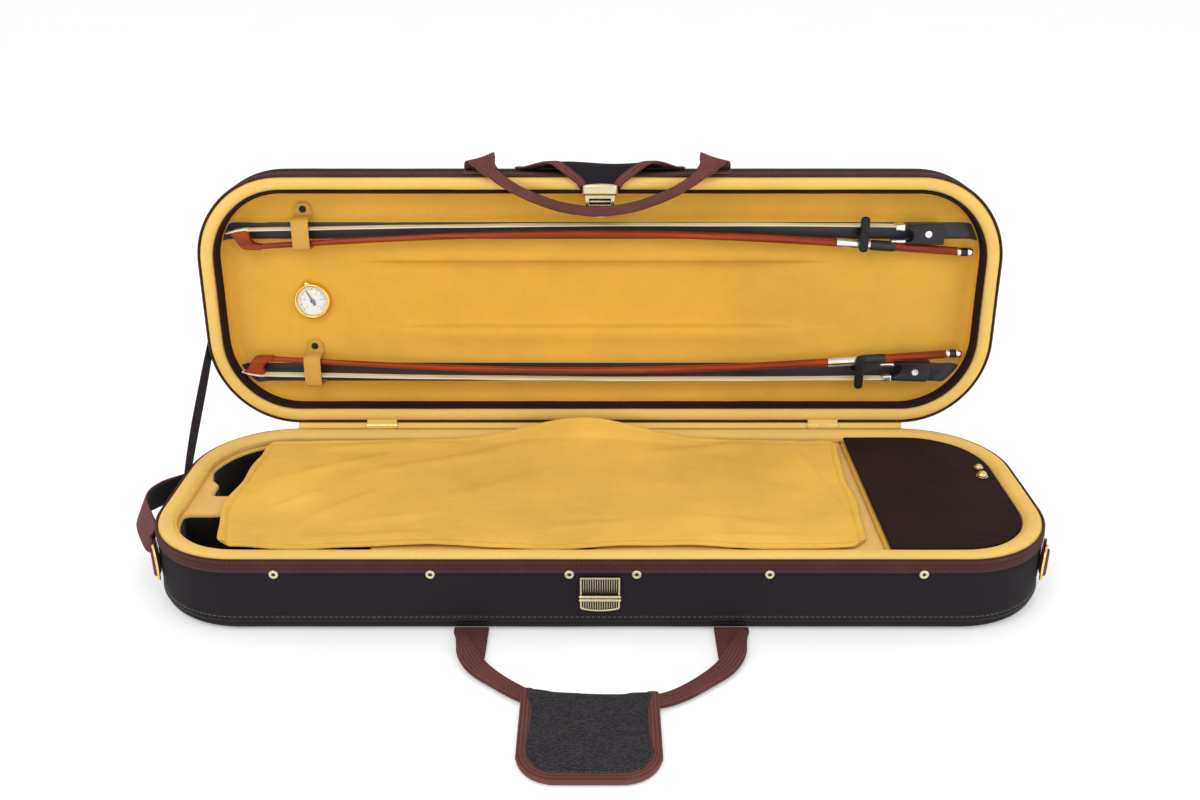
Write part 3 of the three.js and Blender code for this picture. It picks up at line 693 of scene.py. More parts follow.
def lined_foam():
    """Gold velvet on the deck, going to near-black down the sides of the hollows: dark velvet with painted
    shade of the hollows.
    """
    n = Nodes("bed_velvet")
    z = n.add("ShaderNodeSeparateXYZ", {"Vector": n.add("ShaderNodeTexCoord").outputs["Object"]}).outputs[2]
    ragged = n.math("ADD", z, n.math("MULTIPLY", n.noise(300, 3), 0.0008))
    deck = n.add("ShaderNodeMapRange", {"Value": ragged, "From Min": 0.0602, "From Max": 0.0612})
    pile = n.noise(1500, 2)
    gold = n.ramp(n.noise(12, 3), (0.3, srgb(228, 182, 100)), (0.7, srgb(242, 198, 116)))
    gold = n.mix(n.math("MULTIPLY", n.math("SUBTRACT", 0.6, pile), 0.5), gold, srgb(160, 112, 44))
    # Near-black below the deck: the hollows' dark velvet, darkened further as painted shade.
    dark = n.ramp(n.noise(40, 3), (0.3, srgb(12, 9, 9)), (0.7, srgb(26, 20, 20)))
    n.set(Base_Color=n.mix(deck.outputs[0], dark, gold), Roughness=0.92, Sheen_Weight=0.15)
    n.set(Normal=n.bump(pile, 0.0006, 0.5), Specular_IOR_Level=0.15)
    return n.mat


WOOD, HAIR, PEARL, GLASS, BED = pernambuco(), hair_strands(), pearl(), clear_glass(), lined_foam()
SLOTS = {
    "gold_velvet": (GOLD, LINER, RIM, CLIP, BED, GOLD_THREAD), "brown_velvet": (BROWN,),
    "canvas": (CANVAS, GRIP_CLOTH, RIBBON, PALE_THREAD), "webbing": (WEBBING, TRIM, THREAD),
    "piping": (PIPING, BAND), "brass": (BRASS, PALE_BRASS, DARK_BRASS, GILT, SHADE), "nickel": (SILVER,),
    "black_plastic": (BLACK, INK), "dial": (DIAL,), "stick_wood": (WOOD,), "frog_wood": (EBONY,),
    "leather": (LEATHER,), "horsehair": (HAIR, PEARL, IVORY)}
SLOT_OF = {finish.name: slot for slot, finishes in SLOTS.items() for finish in finishes}


# ---------- base ----------
def softened(name, node, finish, body, voxel=2.5, passes=2):
    """A foam piece: the CAD solid remeshed and eased, so that cloth-covered edges are round."""
    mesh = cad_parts[node].data.copy()
    obj = settle(name, mesh, None, None)
    obj.modifiers.new("skin", "REMESH")
    obj.modifiers["skin"].mode = "VOXEL"
    obj.modifiers["skin"].voxel_size = voxel * MM
    ease = obj.modifiers.new("ease", "SMOOTH")
    ease.factor, ease.iterations = 0.5, passes
    bpy.context.view_layer.update()
    eased = bpy.data.meshes.new_from_object(obj.evaluated_get(bpy.context.evaluated_depsgraph_get()))
    bpy.data.objects.remove(obj)
    eased.materials.clear()
    return settle(name, eased, finish, body, node, angle=80)


def sew_edges(body, seams, cord_z, fold, fold_seam):
    """The trim band's two seams at their heights, and the piping's cord, its fold and that fold's seam."""
    for label, z in zip(("low", "high"), seams):
        stitches(f"{body}_trim_stitch_{label}", row_at(-0.25, z), OUTWARD, THREAD, body, pitch=3.4, long=2.4,
                 radius=0.28)
    swept(f"{body}_piping_cord", arc(0.6, cord_z, 1.9, 0, 337, 15), PIPING, body, rough=0.12, size=25,
          replaces=f"{body}_piping")
    swept(f"{body}_piping_fold", fold, PIPING, body)
    stitches(f"{body}_piping_stitch", row_at(*fold_seam), OUTWARD, PALE_THREAD, body, pitch=4.6, radius=0.3)


def make_base():
    edge_arc = [(9 - 9 * math.sin(t), 9 - 9 * math.cos(t)) for t in np.linspace(0, math.pi / 2, 8)]
    wall = [(0, 14), (-0.3, 22), (-0.5, 32), (-0.5, 42), (-0.3, 50), (0, 57)]
    top = [(0.6, 58), (2.1, 58.2), (2.1, 64), (10, 64), (10, 36), (10, 9), (14, 8), (40, 8), (MIDDLE, 8)]
    profile = [(MIDDLE, 0), (60, 0), (30, 0)] + edge_arc + wall + top
    swept("base_shell_cover", profile, CANVAS, "base", closed=False, rough=0.35, size=70,
          replaces="base_shell")
    trim = [(1.8, 58), (0.2, 58), (-0.5, 59), (-0.5, 60.2), (0, 60.8), (-0.6, 61.8), (-0.7, 65),
            (-0.5, 67.6), (0, 68.2), (-0.4, 69), (-0.2, 70.6), (0.7, 71.4), (1.8, 71)]
    swept("base_trim_band", trim, TRIM, "base", rough=0.15, size=35, replaces="base_trim")
    sew_edges("base", (60.5, 68.4), 11.3, [(0.6, 12.6), (-0.5, 13.2), (-0.7, 15.4), (0, 16.4), (0.8, 16.2)],
              (-0.75, 14.6))
    rim = [(2.1, 64.4), (2.0, 67), (2.3, 70), (3.6, 72.2), (6, 73.3), (9, 73.6), (12, 73.4), (14.6, 72.6),
           (16.3, 71.2), (16.9, 70.2), (17.5, 70.4), (18.3, 69.6), (18.8, 68), (18.5, 64.4)]

    def uneven(p):
        rise = 0.35 * smooth_noise(p, 60, 7.0) * smoothstep(p[:, 2], 66, 73)
        return p + np.column_stack([0 * p[:, :2], rise])

    roll = swept("base_rim_roll", rim, RIM, "base", rough=0.3, size=45, replaces="base_rim", shape=uneven)
    softened("bed_lining", "bed_foam", BED, "base")
    softened("accessory_box_lining", "accessory_box", GOLD, "base")


def ridge(x, y, x0, y0, x1, y1, wide, tall):
    """A soft fold between two points, one side steeper than the other."""
    a, d = np.array([x0, y0]), np.array([x1 - x0, y1 - y0])
    size = np.linalg.norm(d)
    t = ((x - a[0]) * d[0] + (y - a[1]) * d[1]) / size ** 2
    off = ((x - a[0]) * d[1] - (y - a[1]) * d[0]) / size
    skew = np.where(off > 0, 1.0, 0.6)
    return tall * np.exp(-(off / wide / skew) ** 2) * smoothstep(t, -0.25,
                                                                 0.3) * (1 - smoothstep(t, 0.7, 1.25))


# Each fold: from x, y to x, y, then its width and height.
FOLDS = [(-302, -38, -262, -4, 7, 2.6), (-268, -64, -214, -8, 8, 3.0), (-306, 26, -214, 70, 8, 2.2),
         (-220, 34, -70, 84, 12, 2.6), (-212, -60, -150, -44, 6, 1.8), (-150, -20, -40, 36, 14, 1.6),
         (-60, -76, 40, -58, 8, 1.6), (40, 64, 150, 92, 10, 2.2), (60, -50, 160, -66, 9, 1.5),
         (120, 20, 205, -20, 14, 1.4), (196, 96, 226, -70, 6, 2.0), (-290, 82, -160, 98, 6, 1.6),
         (-250, -88, -150, -80, 6, 1.6), (90, -84, 190, -88, 6, 1.4)]


def blanket_height(x, y):
    """The middle of the blanket's thickness over the bed."""
    z = 67.6 + 1.6 * np.exp(-((x - 30) / 190) ** 2 - (y / 60) ** 2)
    hump = 7.0 * smoothstep(y, 20, 90) ** 1.3 + 18 * smoothstep(y, 88, 101)
    z += hump * np.exp(-np.abs((x + 20) / 76) ** 2.1)
    z += 2.2 * np.exp(-((x + 11) / 130) ** 2) * smoothstep(y, -20, 80)
    z += 2.6 * smoothstep(y, 70, 98) * (1 - 0.4 * np.exp(-((x + 11) / 78) ** 2))
    for fold in FOLDS:
        z += ridge(x, y, *fold)
    z += 0.8 * ripple(x, y, 46, 3.1, 1.8)
    z += 0.25 * ripple(x, y, 17, 9.2)
    front = smoothstep(-y, 84, 97)
    z += front * (0.7 * np.sin(x / 31) + 0.5 * np.sin(x / 12.7 + 1) - 0.4)
    return np.maximum(z, 66.6)


def close_at_ends(count, reach=0.94):
    """Numbers from -1 to 1 that lie closer together towards both ends."""
    return np.sin(np.linspace(-0.5, 0.5, count) * math.pi * reach) / math.sin(reach / 2 * math.pi)


def between(points, i, j):
    """Places between the rows i and columns j of an (n, m, 3) array of points."""
    a = i.astype(int).clip(0, points.shape[0] - 2)
    b = j.astype(int).clip(0, points.shape[1] - 2)
    fi, fj = (i - a)[:, None], (j - b)[:, None]
    near = points[a, b] * (1 - fi) + points[a + 1, b] * fi
    far = points[a, b + 1] * (1 - fi) + points[a + 1, b + 1] * fi
    return near * (1 - fj) + far * fj


def make_blanket():
    nu, nv = 200, 78
    S, T = np.meshgrid((close_at_ends(nu) + 1) / 2, (close_at_ends(nv) + 1) / 2, indexing="ij")
    left = -333 - 12 * smoothstep(T, 0, 0.35) + 6 * smoothstep(T, 0.6, 1)
    right = 232 + 9 * T
    x = left + (right - left) * S
    fy = -102.3 + 1.1 * np.sin(x / 34) + 0.9 * np.sin(x / 17 + 1.3)
    fy += 4.5 * np.exp(-((x + 155) / 45) ** 2) + 3.5 * np.exp(-((x - 62) / 40) ** 2)
    by = 100.5 + 1.2 * np.sin(x / 40) + smoothstep(x, -335, -300)
    y = fy + (by - fy) * T
    x = x + 2.2 * np.sin(y / 26) * (smoothstep(S, 0.03, 0) - smoothstep(S, 0.97, 1))
    x += 1.5 * np.sin(y / 11) * (smoothstep(S, 0.02, 0) - 0.5 * smoothstep(S, 0.98, 1))
    side, end = np.minimum(S, 1 - S), np.minimum(T, 1 - T)
    corner = 0.028
    pull = 7 * np.clip(1 - side / corner, 0, 1) ** 2 * np.clip(1 - end / (corner * 2.8), 0, 1) ** 2
    x += np.where(S < 0.5, 1, -1) * pull
    y += np.where(T < 0.5, 1, -1) * pull
    edge_far = np.minimum(side * 576, end * 202)
    z = blanket_height(x, y)
    half = 1.35 * np.sqrt(np.clip(edge_far / 1.6, 0.02, 1)) + 0.55 * np.exp(-((edge_far - 3.4) / 1.9) ** 2)
    half -= 1.0 * np.exp(-((edge_far - 6.8) / 0.95) ** 2)
    pucker = 0.22 * np.sin((x + y) / 2.1) * np.exp(-((edge_far - 5.5) / 3.5) ** 2)
    top = z + half + pucker
    sheet = pad("blanket_quilt", np.stack([x, y], 2), top, z - half * 0.7, GOLD, "blanket",
                replaces="blanket", angle=70)
    row = lambda at: np.interp(at, S[:, 0], np.arange(nu))
    column = lambda at: np.interp(at, T[0], np.arange(nv))
    face = np.stack([x, y, top], 2)
    long, short = row(np.linspace(0.02, 0.98, 150)), column(np.linspace(0.035, 0.965, 60))
    lines = [between(face, long, np.full(150, column(at))) for at in (0.033, 1 - 0.033)]
    lines += [between(face, np.full(60, row(at)), short) for at in (0.0117, 1 - 0.0117)]
    for k, line in enumerate(lines):
        stitches(f"blanket_stitch_{k + 1}", line, UP, GOLD_THREAD, "blanket", pitch=3.6, long=2.5,
                 radius=0.3)


def make_accessory_lid():
    nu, nv = 60, 84
    inset = 19.6
    r = CORNER - inset
    x0, x1 = 250.4, LENGTH / 2 - inset
    s = (1 - np.cos(np.linspace(0, math.pi, nu))) / 2
    t = close_at_ends(nv, 0.96)
    x = np.repeat((x0 + (x1 - x0) * s)[:, None], nv, 1)
    round_end = np.sqrt(np.clip(r * r - (x - CORNER_X) ** 2, 0, None))
    half = CORNER_Y + np.where(x < CORNER_X, r, round_end)
    y = half * t[None, :]
    dist = np.minimum(np.minimum(x - x0, x1 - x), (half - np.abs(y)) * 0.9)
    in_corner = (x > CORNER_X) & (np.abs(y) > CORNER_Y)
    corner = np.where(in_corner, r - np.hypot(x - CORNER_X, np.abs(y) - CORNER_Y), FAR)
    dist = np.clip(np.minimum(dist, corner), 0, None)
    crown = 1.2 * smoothstep(dist, 3, 40)
    edge = 2.4 * np.sqrt(np.clip(1 - (1 - np.clip(dist / 3.2, 0, 1)) ** 2, 0, 1))
    top = 69 + edge + crown + 0.25 * ripple(x, y, 30, 4.4) - 0.5 * np.exp(-((dist - 8) / 1.1) ** 2)
    lid = pad("accessory_lid_pad", np.stack([x, y], 2), top, 69 - edge * 1.1, BROWN, "accessory_lid",
              replaces="accessory_lid", angle=70)
    turn = np.linspace(0, math.pi / 2, 9)[1:]
    for name, at, r, tall, replaced in (("accessory_knob_turned", (366, 20, 72.3), 4.7, 4.6,
                                         "accessory_knob"), ("accessory_lid_rivet", (368, 38, 72.2), 3.6,
                                                             2.8, ())):
        foot = [(0, 0.1), (r + 0.7, 0.1), (r + 0.8, 0.6), (r, 0.9)]
        dome = [(r * math.cos(a), 0.9 + tall * math.sin(a)) for a in turn]
        lathed(name, foot + dome, lambda p: p + np.array(at), 40, BRASS, "accessory_lid", replaces=replaced)


def make_studs():
    dome = [(0, 0), (4.2, 0), (4.3, 0.5), (3.9, 1.1), (2.9, 1.6), (1.9, 1.4), (1.5, 0.8), (0, 0.7)]
    centre = [(0, 0.4), (1.5, 0.4), (1.4, 1.0), (0.9, 1.3), (0, 1.4)]
    for k in range(1, 7):
        low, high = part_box(f"front_stud_{k}")
        x, z = (low[0] + high[0]) / 2 / MM, (low[2] + high[2]) / 2 / MM
        place = facing_front(x, FRONT - 0.4, z)
        lathed(f"front_stud_dome_{k}", dome, place, 32, PALE_BRASS, "base", replaces=f"front_stud_{k}")
        # A near-black cap in each dome's dip: painted shade of the stud's hollow centre.
        lathed(f"front_stud_hole_shade_{k}", centre, place, 24, DARK_BRASS, "base")


def make_lock():
    half, top = 17.0, 55.7
    low = lambda x: 22.2 + 2.4 * (x / half) ** 2

    def shield(inset):
        edge = half - inset
        floor = [(x, low(x) + inset) for x in np.linspace(-edge + 0.8, edge - 0.8, 15)]
        return [(-edge, top - inset), (-edge, low(edge) + inset + 1.2)] + floor + [
            (edge, low(edge) + inset + 1.2), (edge, top - inset)]

    front = facing_front(0, FRONT - 0.3, 0)
    # The plate behind the flutes is near-black: painted dark reflection and shade between the flutes.
    plate("lock_body", [shield(0)], 0, 2.1, 0.35, DARK_BRASS, "base", front, replaces="lock_plate")
    plate("lock_frame", [shield(0), shield(1.5)], 2.0, 3.2, 0.4, PALE_BRASS, "base", front)
    flutes = []
    for x in np.arange(-14, 14.1, 2.0):
        for z, r in (((41.0, 45, 50, 54.2), (0.12, 0.3, 0.38, 0.38)),
                     ((low(x) + 1.4, 27, 30, 32.4), (0.38, 0.38, 0.32, 0.2))):
            flutes.append(tube_parts([(x, FRONT - 2.35, h) for h in z], r, 8))
    made("lock_flutes", merged(flutes), PALE_BRASS, "base")
    bars = [[(x, FRONT - 4.1, z) for x in (-17.9, -17, -15, 15, 17, 17.9)] for z in (34.1, 37.3)]
    tubes("lock_slide_bars", bars, [0.7, 1.15, 1.25, 1.25, 1.15, 0.7], PALE_BRASS, "lock_slide", 14,
          replaces="lock_slide")


def refinished(node, finish):
    """A CAD node that stays, with a finish of its own."""
    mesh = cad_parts[node].data
    mesh.materials.clear()
    mesh.materials.append(finish)


def bevelled(node, finish, width):
    refinished(node, finish)
    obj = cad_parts[node]
    edge = obj.modifiers.new("edge", "BEVEL")
    edge.width, edge.segments, edge.limit_method, edge.angle_limit = width * MM, 2, "ANGLE", math.radians(35)
    obj.data.shade_smooth()
    obj.data.set_sharp_from_angle(angle=math.radians(40))


def make_side_handle():
    path = np.array([(-399.6, 66, 46), (-401.6, 58, 46), (-411, 49, 46), (-427, 21, 51), (-428, -17, 57),
                     (-408.5, -54, 51), (-400.5, -68, 46), (-399, -76, 46)])
    normals = np.array([(-1, 0, 0), (-1, 0, 0), (-0.8, 0.5, 0.1), (-0.92, 0.25, 0.25), (-0.85, -0.3, 0.42),
                        (-0.75, -0.5, 0.42), (-1, 0.2, 0), (-1, 0.2, 0)])
    strap("side_handle_web", path, [28, 28, 28, 29, 29, 28, 28, 28], 2.2, normals, WEBBING, "base",
          steps=80, replaces="side_handle")
    # A dark canvas strip along the inside of the loop: painted shade on the handle's inner face.
    strap("side_handle_inner_shade", (path - 1.9 * normals)[1:-1], 25, 1.4, normals[1:-1], RIBBON, "base",
          steps=70)


def make_rings():
    for side, s in (("left", -1), ("right", 1)):
        turn = math.radians(27)
        out = np.array([s * math.cos(turn), -math.sin(turn), 0])
        front = np.array([-s * math.sin(turn), -math.cos(turn), 0])
        centre = np.array([s * CORNER_X, -CORNER_Y, 45.0])
        bar = centre + out * 92.7 + front * 7.8
        local = lambda a, b, c: centre + out * (CORNER + a) + front * b + np.array([0, 0, c])
        path = [local(1.0, -12.5, 0), local(1.2, -4, 0), local(1.6, 3, 0), local(4.6, 10.8, 0),
                local(7.2, 7.4, 0), local(4.4, 2.2, 0), local(2.9, -4, 0), local(2.4, -12.5, 0)]
        normals = [out, out, out, front, out, -front * 0.4 + out, out, out]
        strap(f"d_tab_{side}_web", path, 25.5, 1.5, normals, WEBBING, "base", steps=70,
              replaces=f"d_tab_{side}")
        half = [(11.4, 5.6), (8.2, 11.6), (3.4, 15.6), (0, 16.4), (-1.2, 15.6)]
        ring = resample([(a, -b) for a, b in half[::-1]] + [(12.2, 0)] + half, 46)
        line = [bar + front * a + np.array([0, 0, b]) for a, b in ring]
        line += [bar + front * -1.2 + np.array([0, 0, b]) for b in np.linspace(15.0, -15.0, 16)]
        tubes(f"d_ring_{side}_wire", [line], 1.35, GILT, f"d_ring_{side}", 12, True,
              replaces=f"d_ring_{side}")


def make_hinges():
    for side in ("left", "right"):
        for leaf in ("base", "lid"):
            bevelled(f"hinge_{side}_{leaf}_leaf", BRASS, 0.3)
        bevelled(f"hinge_{side}_pin", NICKEL, 0.2)
    dome = [(0, 0), (2.6, 0), (2.5, 0.6), (1.6, 1.2), (0, 1.4)]
    for side, x in (("left", -227.5), ("right", 232.5)):
        for leaf, body in ((-1, "base"), (1, "lid")):
            parts = []
            for dx in (-9.5, 9.5):
                centre = np.array([x + dx, 130.5, HINGE_Z + leaf * 15])
                parts.append(lathe_parts(dome, lambda p: centre + p[:, [0, 2, 1]], 20))
            made(f"hinge_{side}_{body}_rivets", merged(parts), BRASS, body, weld=0.005)
        bend = [(125.6, 73.1), (128.2, 73.3), (130.2, 74.4), (131.4, 76.2), (132.0, 78.2), (132.5, 80)]
        path = [(x, y, z) for y, z in bend]
        up = [(0, -0.1, 1), (0, -0.3, 1), (0, -0.7, 0.7), (0, -0.9, 0.4), (0, -1, 0.2), (0, -1, 0.1)]
        cover = strap(f"hinge_cover_{side}", path, 31, 1.0, up, RIM, None, steps=24)
        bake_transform(cover)
    place, run = bent_sheet([(129.3, 69.8), (129.9, 71.4), (131.2, 73.0), (132.4, 74.5), (133.6, 75.2),
                             (135.4, 75.4)])
    xy = np.stack(np.meshgrid(np.linspace(-315, 315, 160), np.linspace(0, run, 10), indexing="ij"), 2)
    thick = np.full(xy.shape[:2], 0.8)
    seam = pad("hinge_cloth", xy, thick / 2, -thick / 2, RIM, None, place)
    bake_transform(seam)


def make_stay():
    path = [(-401.5, 30, 58), (-402, 38, 66), (-402.6, 74, 95), (-402.4, 115, 127), (-402, 156, 160),
            (-401.5, 164, 168)]
    normals = [(-1, 0, 0), (-1, 0.2, -0.25)] + [(-0.81, 0.36, -0.45)] * 2 + [(-1, 0.2, -0.25), (-1, 0, 0)]
    stay = strap("stay_ribbon_web", path, 9.5, 1.2, normals, RIBBON, None, steps=60, replaces="lid_stay")
    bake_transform(stay)
    patch = rounded([(-9, -8), (9, -8), (9, 8), (-9, 8)], 2)
    place = lambda p: np.stack([-400.2 - p[:, 2], 45.0 + p[:, 0], 96.0 + p[:, 1]], 1)
    plate("stay_anchor_lid", [patch], 0, 1.4, 0.4, RIBBON, "lid", place)


def make_base_handle():
    for side, s, x in (("left", -1, -111), ("right", 1, 113.5)):
        leg = [(x + out * s, y) for out, y in ((15, -127), (15, -134), (3, -170), (-15, -171), (-15, -127))]
        plate(f"base_handle_leg_{side}", [rounded(leg[::s], [0.5, 2, 3, 1.5, 0.5], 4)], 0.6, 2.8, 0.7,
              WEBBING, "base_handle")
        path = [(x + 9.5 * s, -134, 3.6), (x + 4.5 * s, -152, 4.6), (x - s, -169, 5.0),
                (x - 11 * s, -187, 4.6), (x - 27 * s, -203, 4.2), (x - 47 * s, -219, 3.9),
                (x - 64 * s, -227.5, 3.8), (x - 82 * s, -230, 3.8)]
        wide = [8, 13, 18, 18, 15.5, 15, 15, 15]
        deep = [1.4, 3.2, 4.6, 5.2, 5.2, 4.8, 4.6, 4.6]
        strap(f"base_handle_web_{side}", path, wide, deep, UP, WEBBING, "base_handle", steps=90,
              power=4.0, sides=24, replaces="base_handle_strap" if s < 0 else ())
        edge = [(x + 1 * s, -158, 5.2), (x - 7 * s, -171, 6.0), (x - 14 * s, -184, 6.6)]
        strap(f"base_handle_fold_{side}", edge, [5, 9, 6], [1.0, 1.6, 1.2], (0, 0.1, 1), WEBBING,
              "base_handle", steps=30)
        seam = [(x - 12.5 * s, y, 2.9) for y in (-130, -169)]
        stitches(f"base_handle_stitch_{side}", seam, UP, THREAD, "base_handle", pitch=3.2, long=2.3,
                 radius=0.28)
    make_wrap()


def swell_cloth(obj, voxel, pressure, cap, floor):
    """Lets air pressure swell a closed pad as cloth, each point by no more than cap and none below floor."""
    scene = bpy.context.scene
    finish = obj.data.materials[0]

    def bake():
        bpy.context.view_layer.update()
        mesh = bpy.data.meshes.new_from_object(obj.evaluated_get(bpy.context.evaluated_depsgraph_get()))
        obj.modifiers.clear()
        obj.data = mesh

    skin = obj.modifiers.new("skin", "REMESH")
    skin.mode, skin.voxel_size = "VOXEL", voxel * MM
    bake()
    before = np.array([v.co for v in obj.data.vertices])
    cloth = obj.modifiers.new("cloth", "CLOTH")
    cloth.settings.use_pressure = True
    cloth.settings.uniform_pressure_force = pressure
    cloth.settings.effector_weights.gravity = 0
    cloth.point_cache.frame_start, cloth.point_cache.frame_end = 1, SWELL_FRAMES
    for step in range(1, SWELL_FRAMES + 1):
        scene.frame_set(step)
    bake()
    scene.frame_set(1)
    move = np.array([v.co for v in obj.data.vertices]) - before
    far = np.linalg.norm(move, axis=1)[:, None]
    after = before + move * np.minimum(1, cap * MM / np.maximum(far, 1e-9))
    after[:, 2] = np.maximum(after[:, 2], floor * MM)
    obj.data.vertices.foreach_set("co", after.ravel())
    obj.modifiers.new("fine", "SUBSURF").levels = 1
    bake()
    obj.data.materials.clear()
    obj.data.materials.append(finish)
    obj.data.shade_smooth()


def wrap_outline(inset, n=14):
    """The edge of the padded grip, moved in by inset: round at the bottom, open at the top."""
    x0, x1, y0, y1 = WRAP_X - 54 + inset, WRAP_X + 54 - inset, -318 + inset, -216.5 - inset * 0.4
    r = 30 - inset
    turn = np.linspace(0, math.pi / 2, n)
    left = [(x0, y1)] + [(x0 + r - r * math.cos(a), y0 + r - r * math.sin(a)) for a in turn]
    right = [(x1 - (p[0] - x0), p[1]) for p in left[::-1]]
    right[-1] = (right[-1][0], y1 - 4.2)
    return left + right


def make_wrap():
    nu, nv = 64, 60
    u = close_at_ends(nu, 0.96)
    t = (1 - np.cos(np.linspace(0, math.pi, nv))) / 2
    Y = -318 + 101.5 * t
    r, flat_side = 30, 24
    round_end = flat_side + np.sqrt(np.clip(r * r - (-288 - Y) ** 2, 0, None))
    half = np.where(Y < -288, round_end, 54 - 2.4 * (Y + 288) / 71)
    x = WRAP_X + np.outer(u, half)
    y = np.repeat(Y[None, :], nu, 0) - 2.2 * (1 + u[:, None]) * smoothstep(t, 0.6, 1)[None, :]
    off = np.abs(x - WRAP_X)
    dist = np.minimum(half[None, :] - off, np.minimum(y + 318, -216.5 - y + 4))
    low = np.where(y < -288, r - np.hypot(np.clip(off - flat_side, 0, None), -288 - y), FAR)
    dist = np.clip(np.minimum(dist, low), 0, None)
    hump = 3.4 * np.exp(-((y + 224) / 16) ** 2) * (0.35 + 0.65 * smoothstep(off, 10, 50))
    swell = 1.5 * smoothstep(dist, 0, 34)
    edge = 2.1 * np.sqrt(np.clip(dist / 2.2, 0.01, 1))
    top = 3.2 + edge + swell + hump + 0.35 * ripple(x, y, 24, 5.5)
    grip = pad("base_handle_grip", np.stack([x, y], 2), top, 2.6 - edge * 1.05, GRIP_CLOTH, "base_handle",
               replaces="base_handle_wrap", angle=70)
    swell_cloth(grip, voxel=2.6, pressure=3.0, cap=1.2, floor=0.4)
    start, *line, end = wrap_outline(4.3)
    raised = [(x, y + 1.5, 5.0) for x, y in (start, end)]
    path = resample(raised[:1] + [(x, y, 2.9) for x, y in line] + raised[1:], 120)
    strap("base_handle_binding", path, 9.8, 5.8, UP, WEBBING, "base_handle", steps=150, power=3.2)
    seam = resample([(x, y, 6.1) for x, y in wrap_outline(7.2)], 120)
    stitches("base_handle_binding_stitch", seam, UP, THREAD, "base_handle", pitch=3.4, long=2.4, radius=0.3)


# ---------- lid ----------
def liner_height(x, y):
    """The liner's face over the closed lid: raised pads under the bows and a shallow recess between them."""
    ends = smoothstep(x, -262, -150) * (1 - smoothstep(x, 140, 256))
    upper = smoothstep(y, -38.0, -35.6)
    lower = 1 - smoothstep(y, 30.4, 33.6)
    swell = 4.2 * np.exp(-((y + 44) / 9) ** 2) * ends + 3.0 * np.exp(-((y - 40) / 9) ** 2) * ends
    return LINER_Z + 7.4 * ends * upper * lower - swell


def make_lid_shell():
    top_arc = [(12 - 12 * math.cos(t), 108 + 12 * math.sin(t)) for t in np.linspace(0, math.pi / 2, 9)]
    inside = [(MIDDLE, 110.2), (60, 110.2), (30, 110.2), (15.4, 110.2), (15.2, 100), (15.2, 84.4)]
    wall = [(2.1, 84.4), (2.1, 88.2), (0.6, 88.3), (0, 89.5), (-0.3, 94), (-0.4, 99), (-0.3, 103)]
    back = [(18, 120.4), (28, 121.0), (40, 121.5), (55, 121.9), (70, 122.1), (88, 122.3), (108, 122.4),
            (MIDDLE, 122.4)]
    swept("lid_shell_cover", inside + wall + top_arc + back, CANVAS, "lid", closed=False, rough=0.35,
          size=70, seed=2.0, replaces="lid_shell")
    trim = [(1.8, 75.2), (0.6, 75.0), (-0.3, 76), (-0.5, 77.2), (0, 77.9), (-0.6, 79), (-0.7, 82),
            (-0.5, 84.8), (0, 85.5), (-0.5, 86.3), (-0.4, 87.6), (0.4, 88.2), (1.8, 88)]
    swept("lid_trim_band", trim, TRIM, "lid", rough=0.15, size=35, seed=3.0, replaces="lid_trim")
    sew_edges("lid", (77.7, 85.7), 105.7, [(0.6, 104.4), (-0.7, 103.8), (-0.9, 101.6), (-0.2, 100.6),
                                           (0.8, 100.8)], (-0.95, 102.4))
    rim = [(2.1, 83.8), (2.0, 80), (2.2, 77.2), (3.2, 75.2), (5.2, 74.2), (8, 73.9), (10.6, 74.2),
           (12.8, 75.0), (14.3, 76.4), (15.0, 78.4), (15.0, 83.8)]
    roll = swept("lid_rim_roll", rim, RIM, "lid", rough=0.3, size=45, seed=5.0, replaces="lid_rim")
    seal = [(15.3, 76.8), (15.9, 75.7), (17.0, 75.4), (18.0, 76.0), (18.6, 77.6), (18.7, 84), (18.5, 90),
            (15.3, 90)]
    band = swept("lid_seal_band", seal, BROWN, "lid", rough=0.25, size=30, seed=6.0, replaces="lid_seal")


def make_liner():
    rows = [(15.4, 109.4), (15.4, 90.4), (18.6, 90.4), (18.8, 92.5), (19.3, 95.4), (20.4, 98), (22.2, 99.8),
            (24.6, 100.7), (27.5, 101)]
    insets = [31, 35, 40, 45, *range(50, 83, 4), 85, 88] + [88 + k for k in np.arange(1.2, 12.0, 1.2)]
    insets += [101.5, 104, 108, 113, 118, 123, 127, MIDDLE]
    profile = [(MIDDLE, 109.4), (60, 109.4)] + rows + [(i, LINER_Z) for i in insets]

    def shape(p):
        face = np.abs(p[:, 2] - LINER_Z) < 1e-6
        q = p.copy()
        q[face, 2] = liner_height(p[face, 0], p[face, 1])
        q[face, 2] += 0.28 * smooth_noise(p[face], 55, 1.7) + 0.08 * smooth_noise(p[face], 14, 2.9)
        return q

    liner = swept("lid_liner_pad", profile, LINER, "lid", closed=False, shape=shape, replaces="lid_liner")
    for name, v0, v1 in (("upper", 192, 209), ("lower", 40, 60)):
        V = np.linspace(v0, v1, 9)
        past = np.clip(np.abs(HINGE_Y - V) - CORNER_Y, 0, None)
        reach = CORNER_X + np.sqrt(np.clip((CORNER - 14) ** 2 - past ** 2, 0, None))
        x = np.linspace(-1, 1, 160)[:, None] * reach[None, :]
        y = np.repeat((HINGE_Y - V)[None, :], 160, 0)
        face = -0.5 + 0.35 * (1 - smoothstep(np.minimum(V - v0, v1 - V), 0, 1.5))
        near = np.hypot(np.clip(np.abs(x) - CORNER_X, 0, None), past[None, :])
        rise = np.interp(CORNER - near, [18.8, 19.3, 20.4, 22.2, 24.6, 27.5], [8.5, 5.6, 3, 1.2, 0.3, 0])
        top = liner_height(x, y) - rise + face[None, :] + 0.15 * ripple(x, y, 40, 8.0)
        pad(f"bow_band_{name}", np.stack([x, y], 2), top + 1.2, top, BAND, "lid")


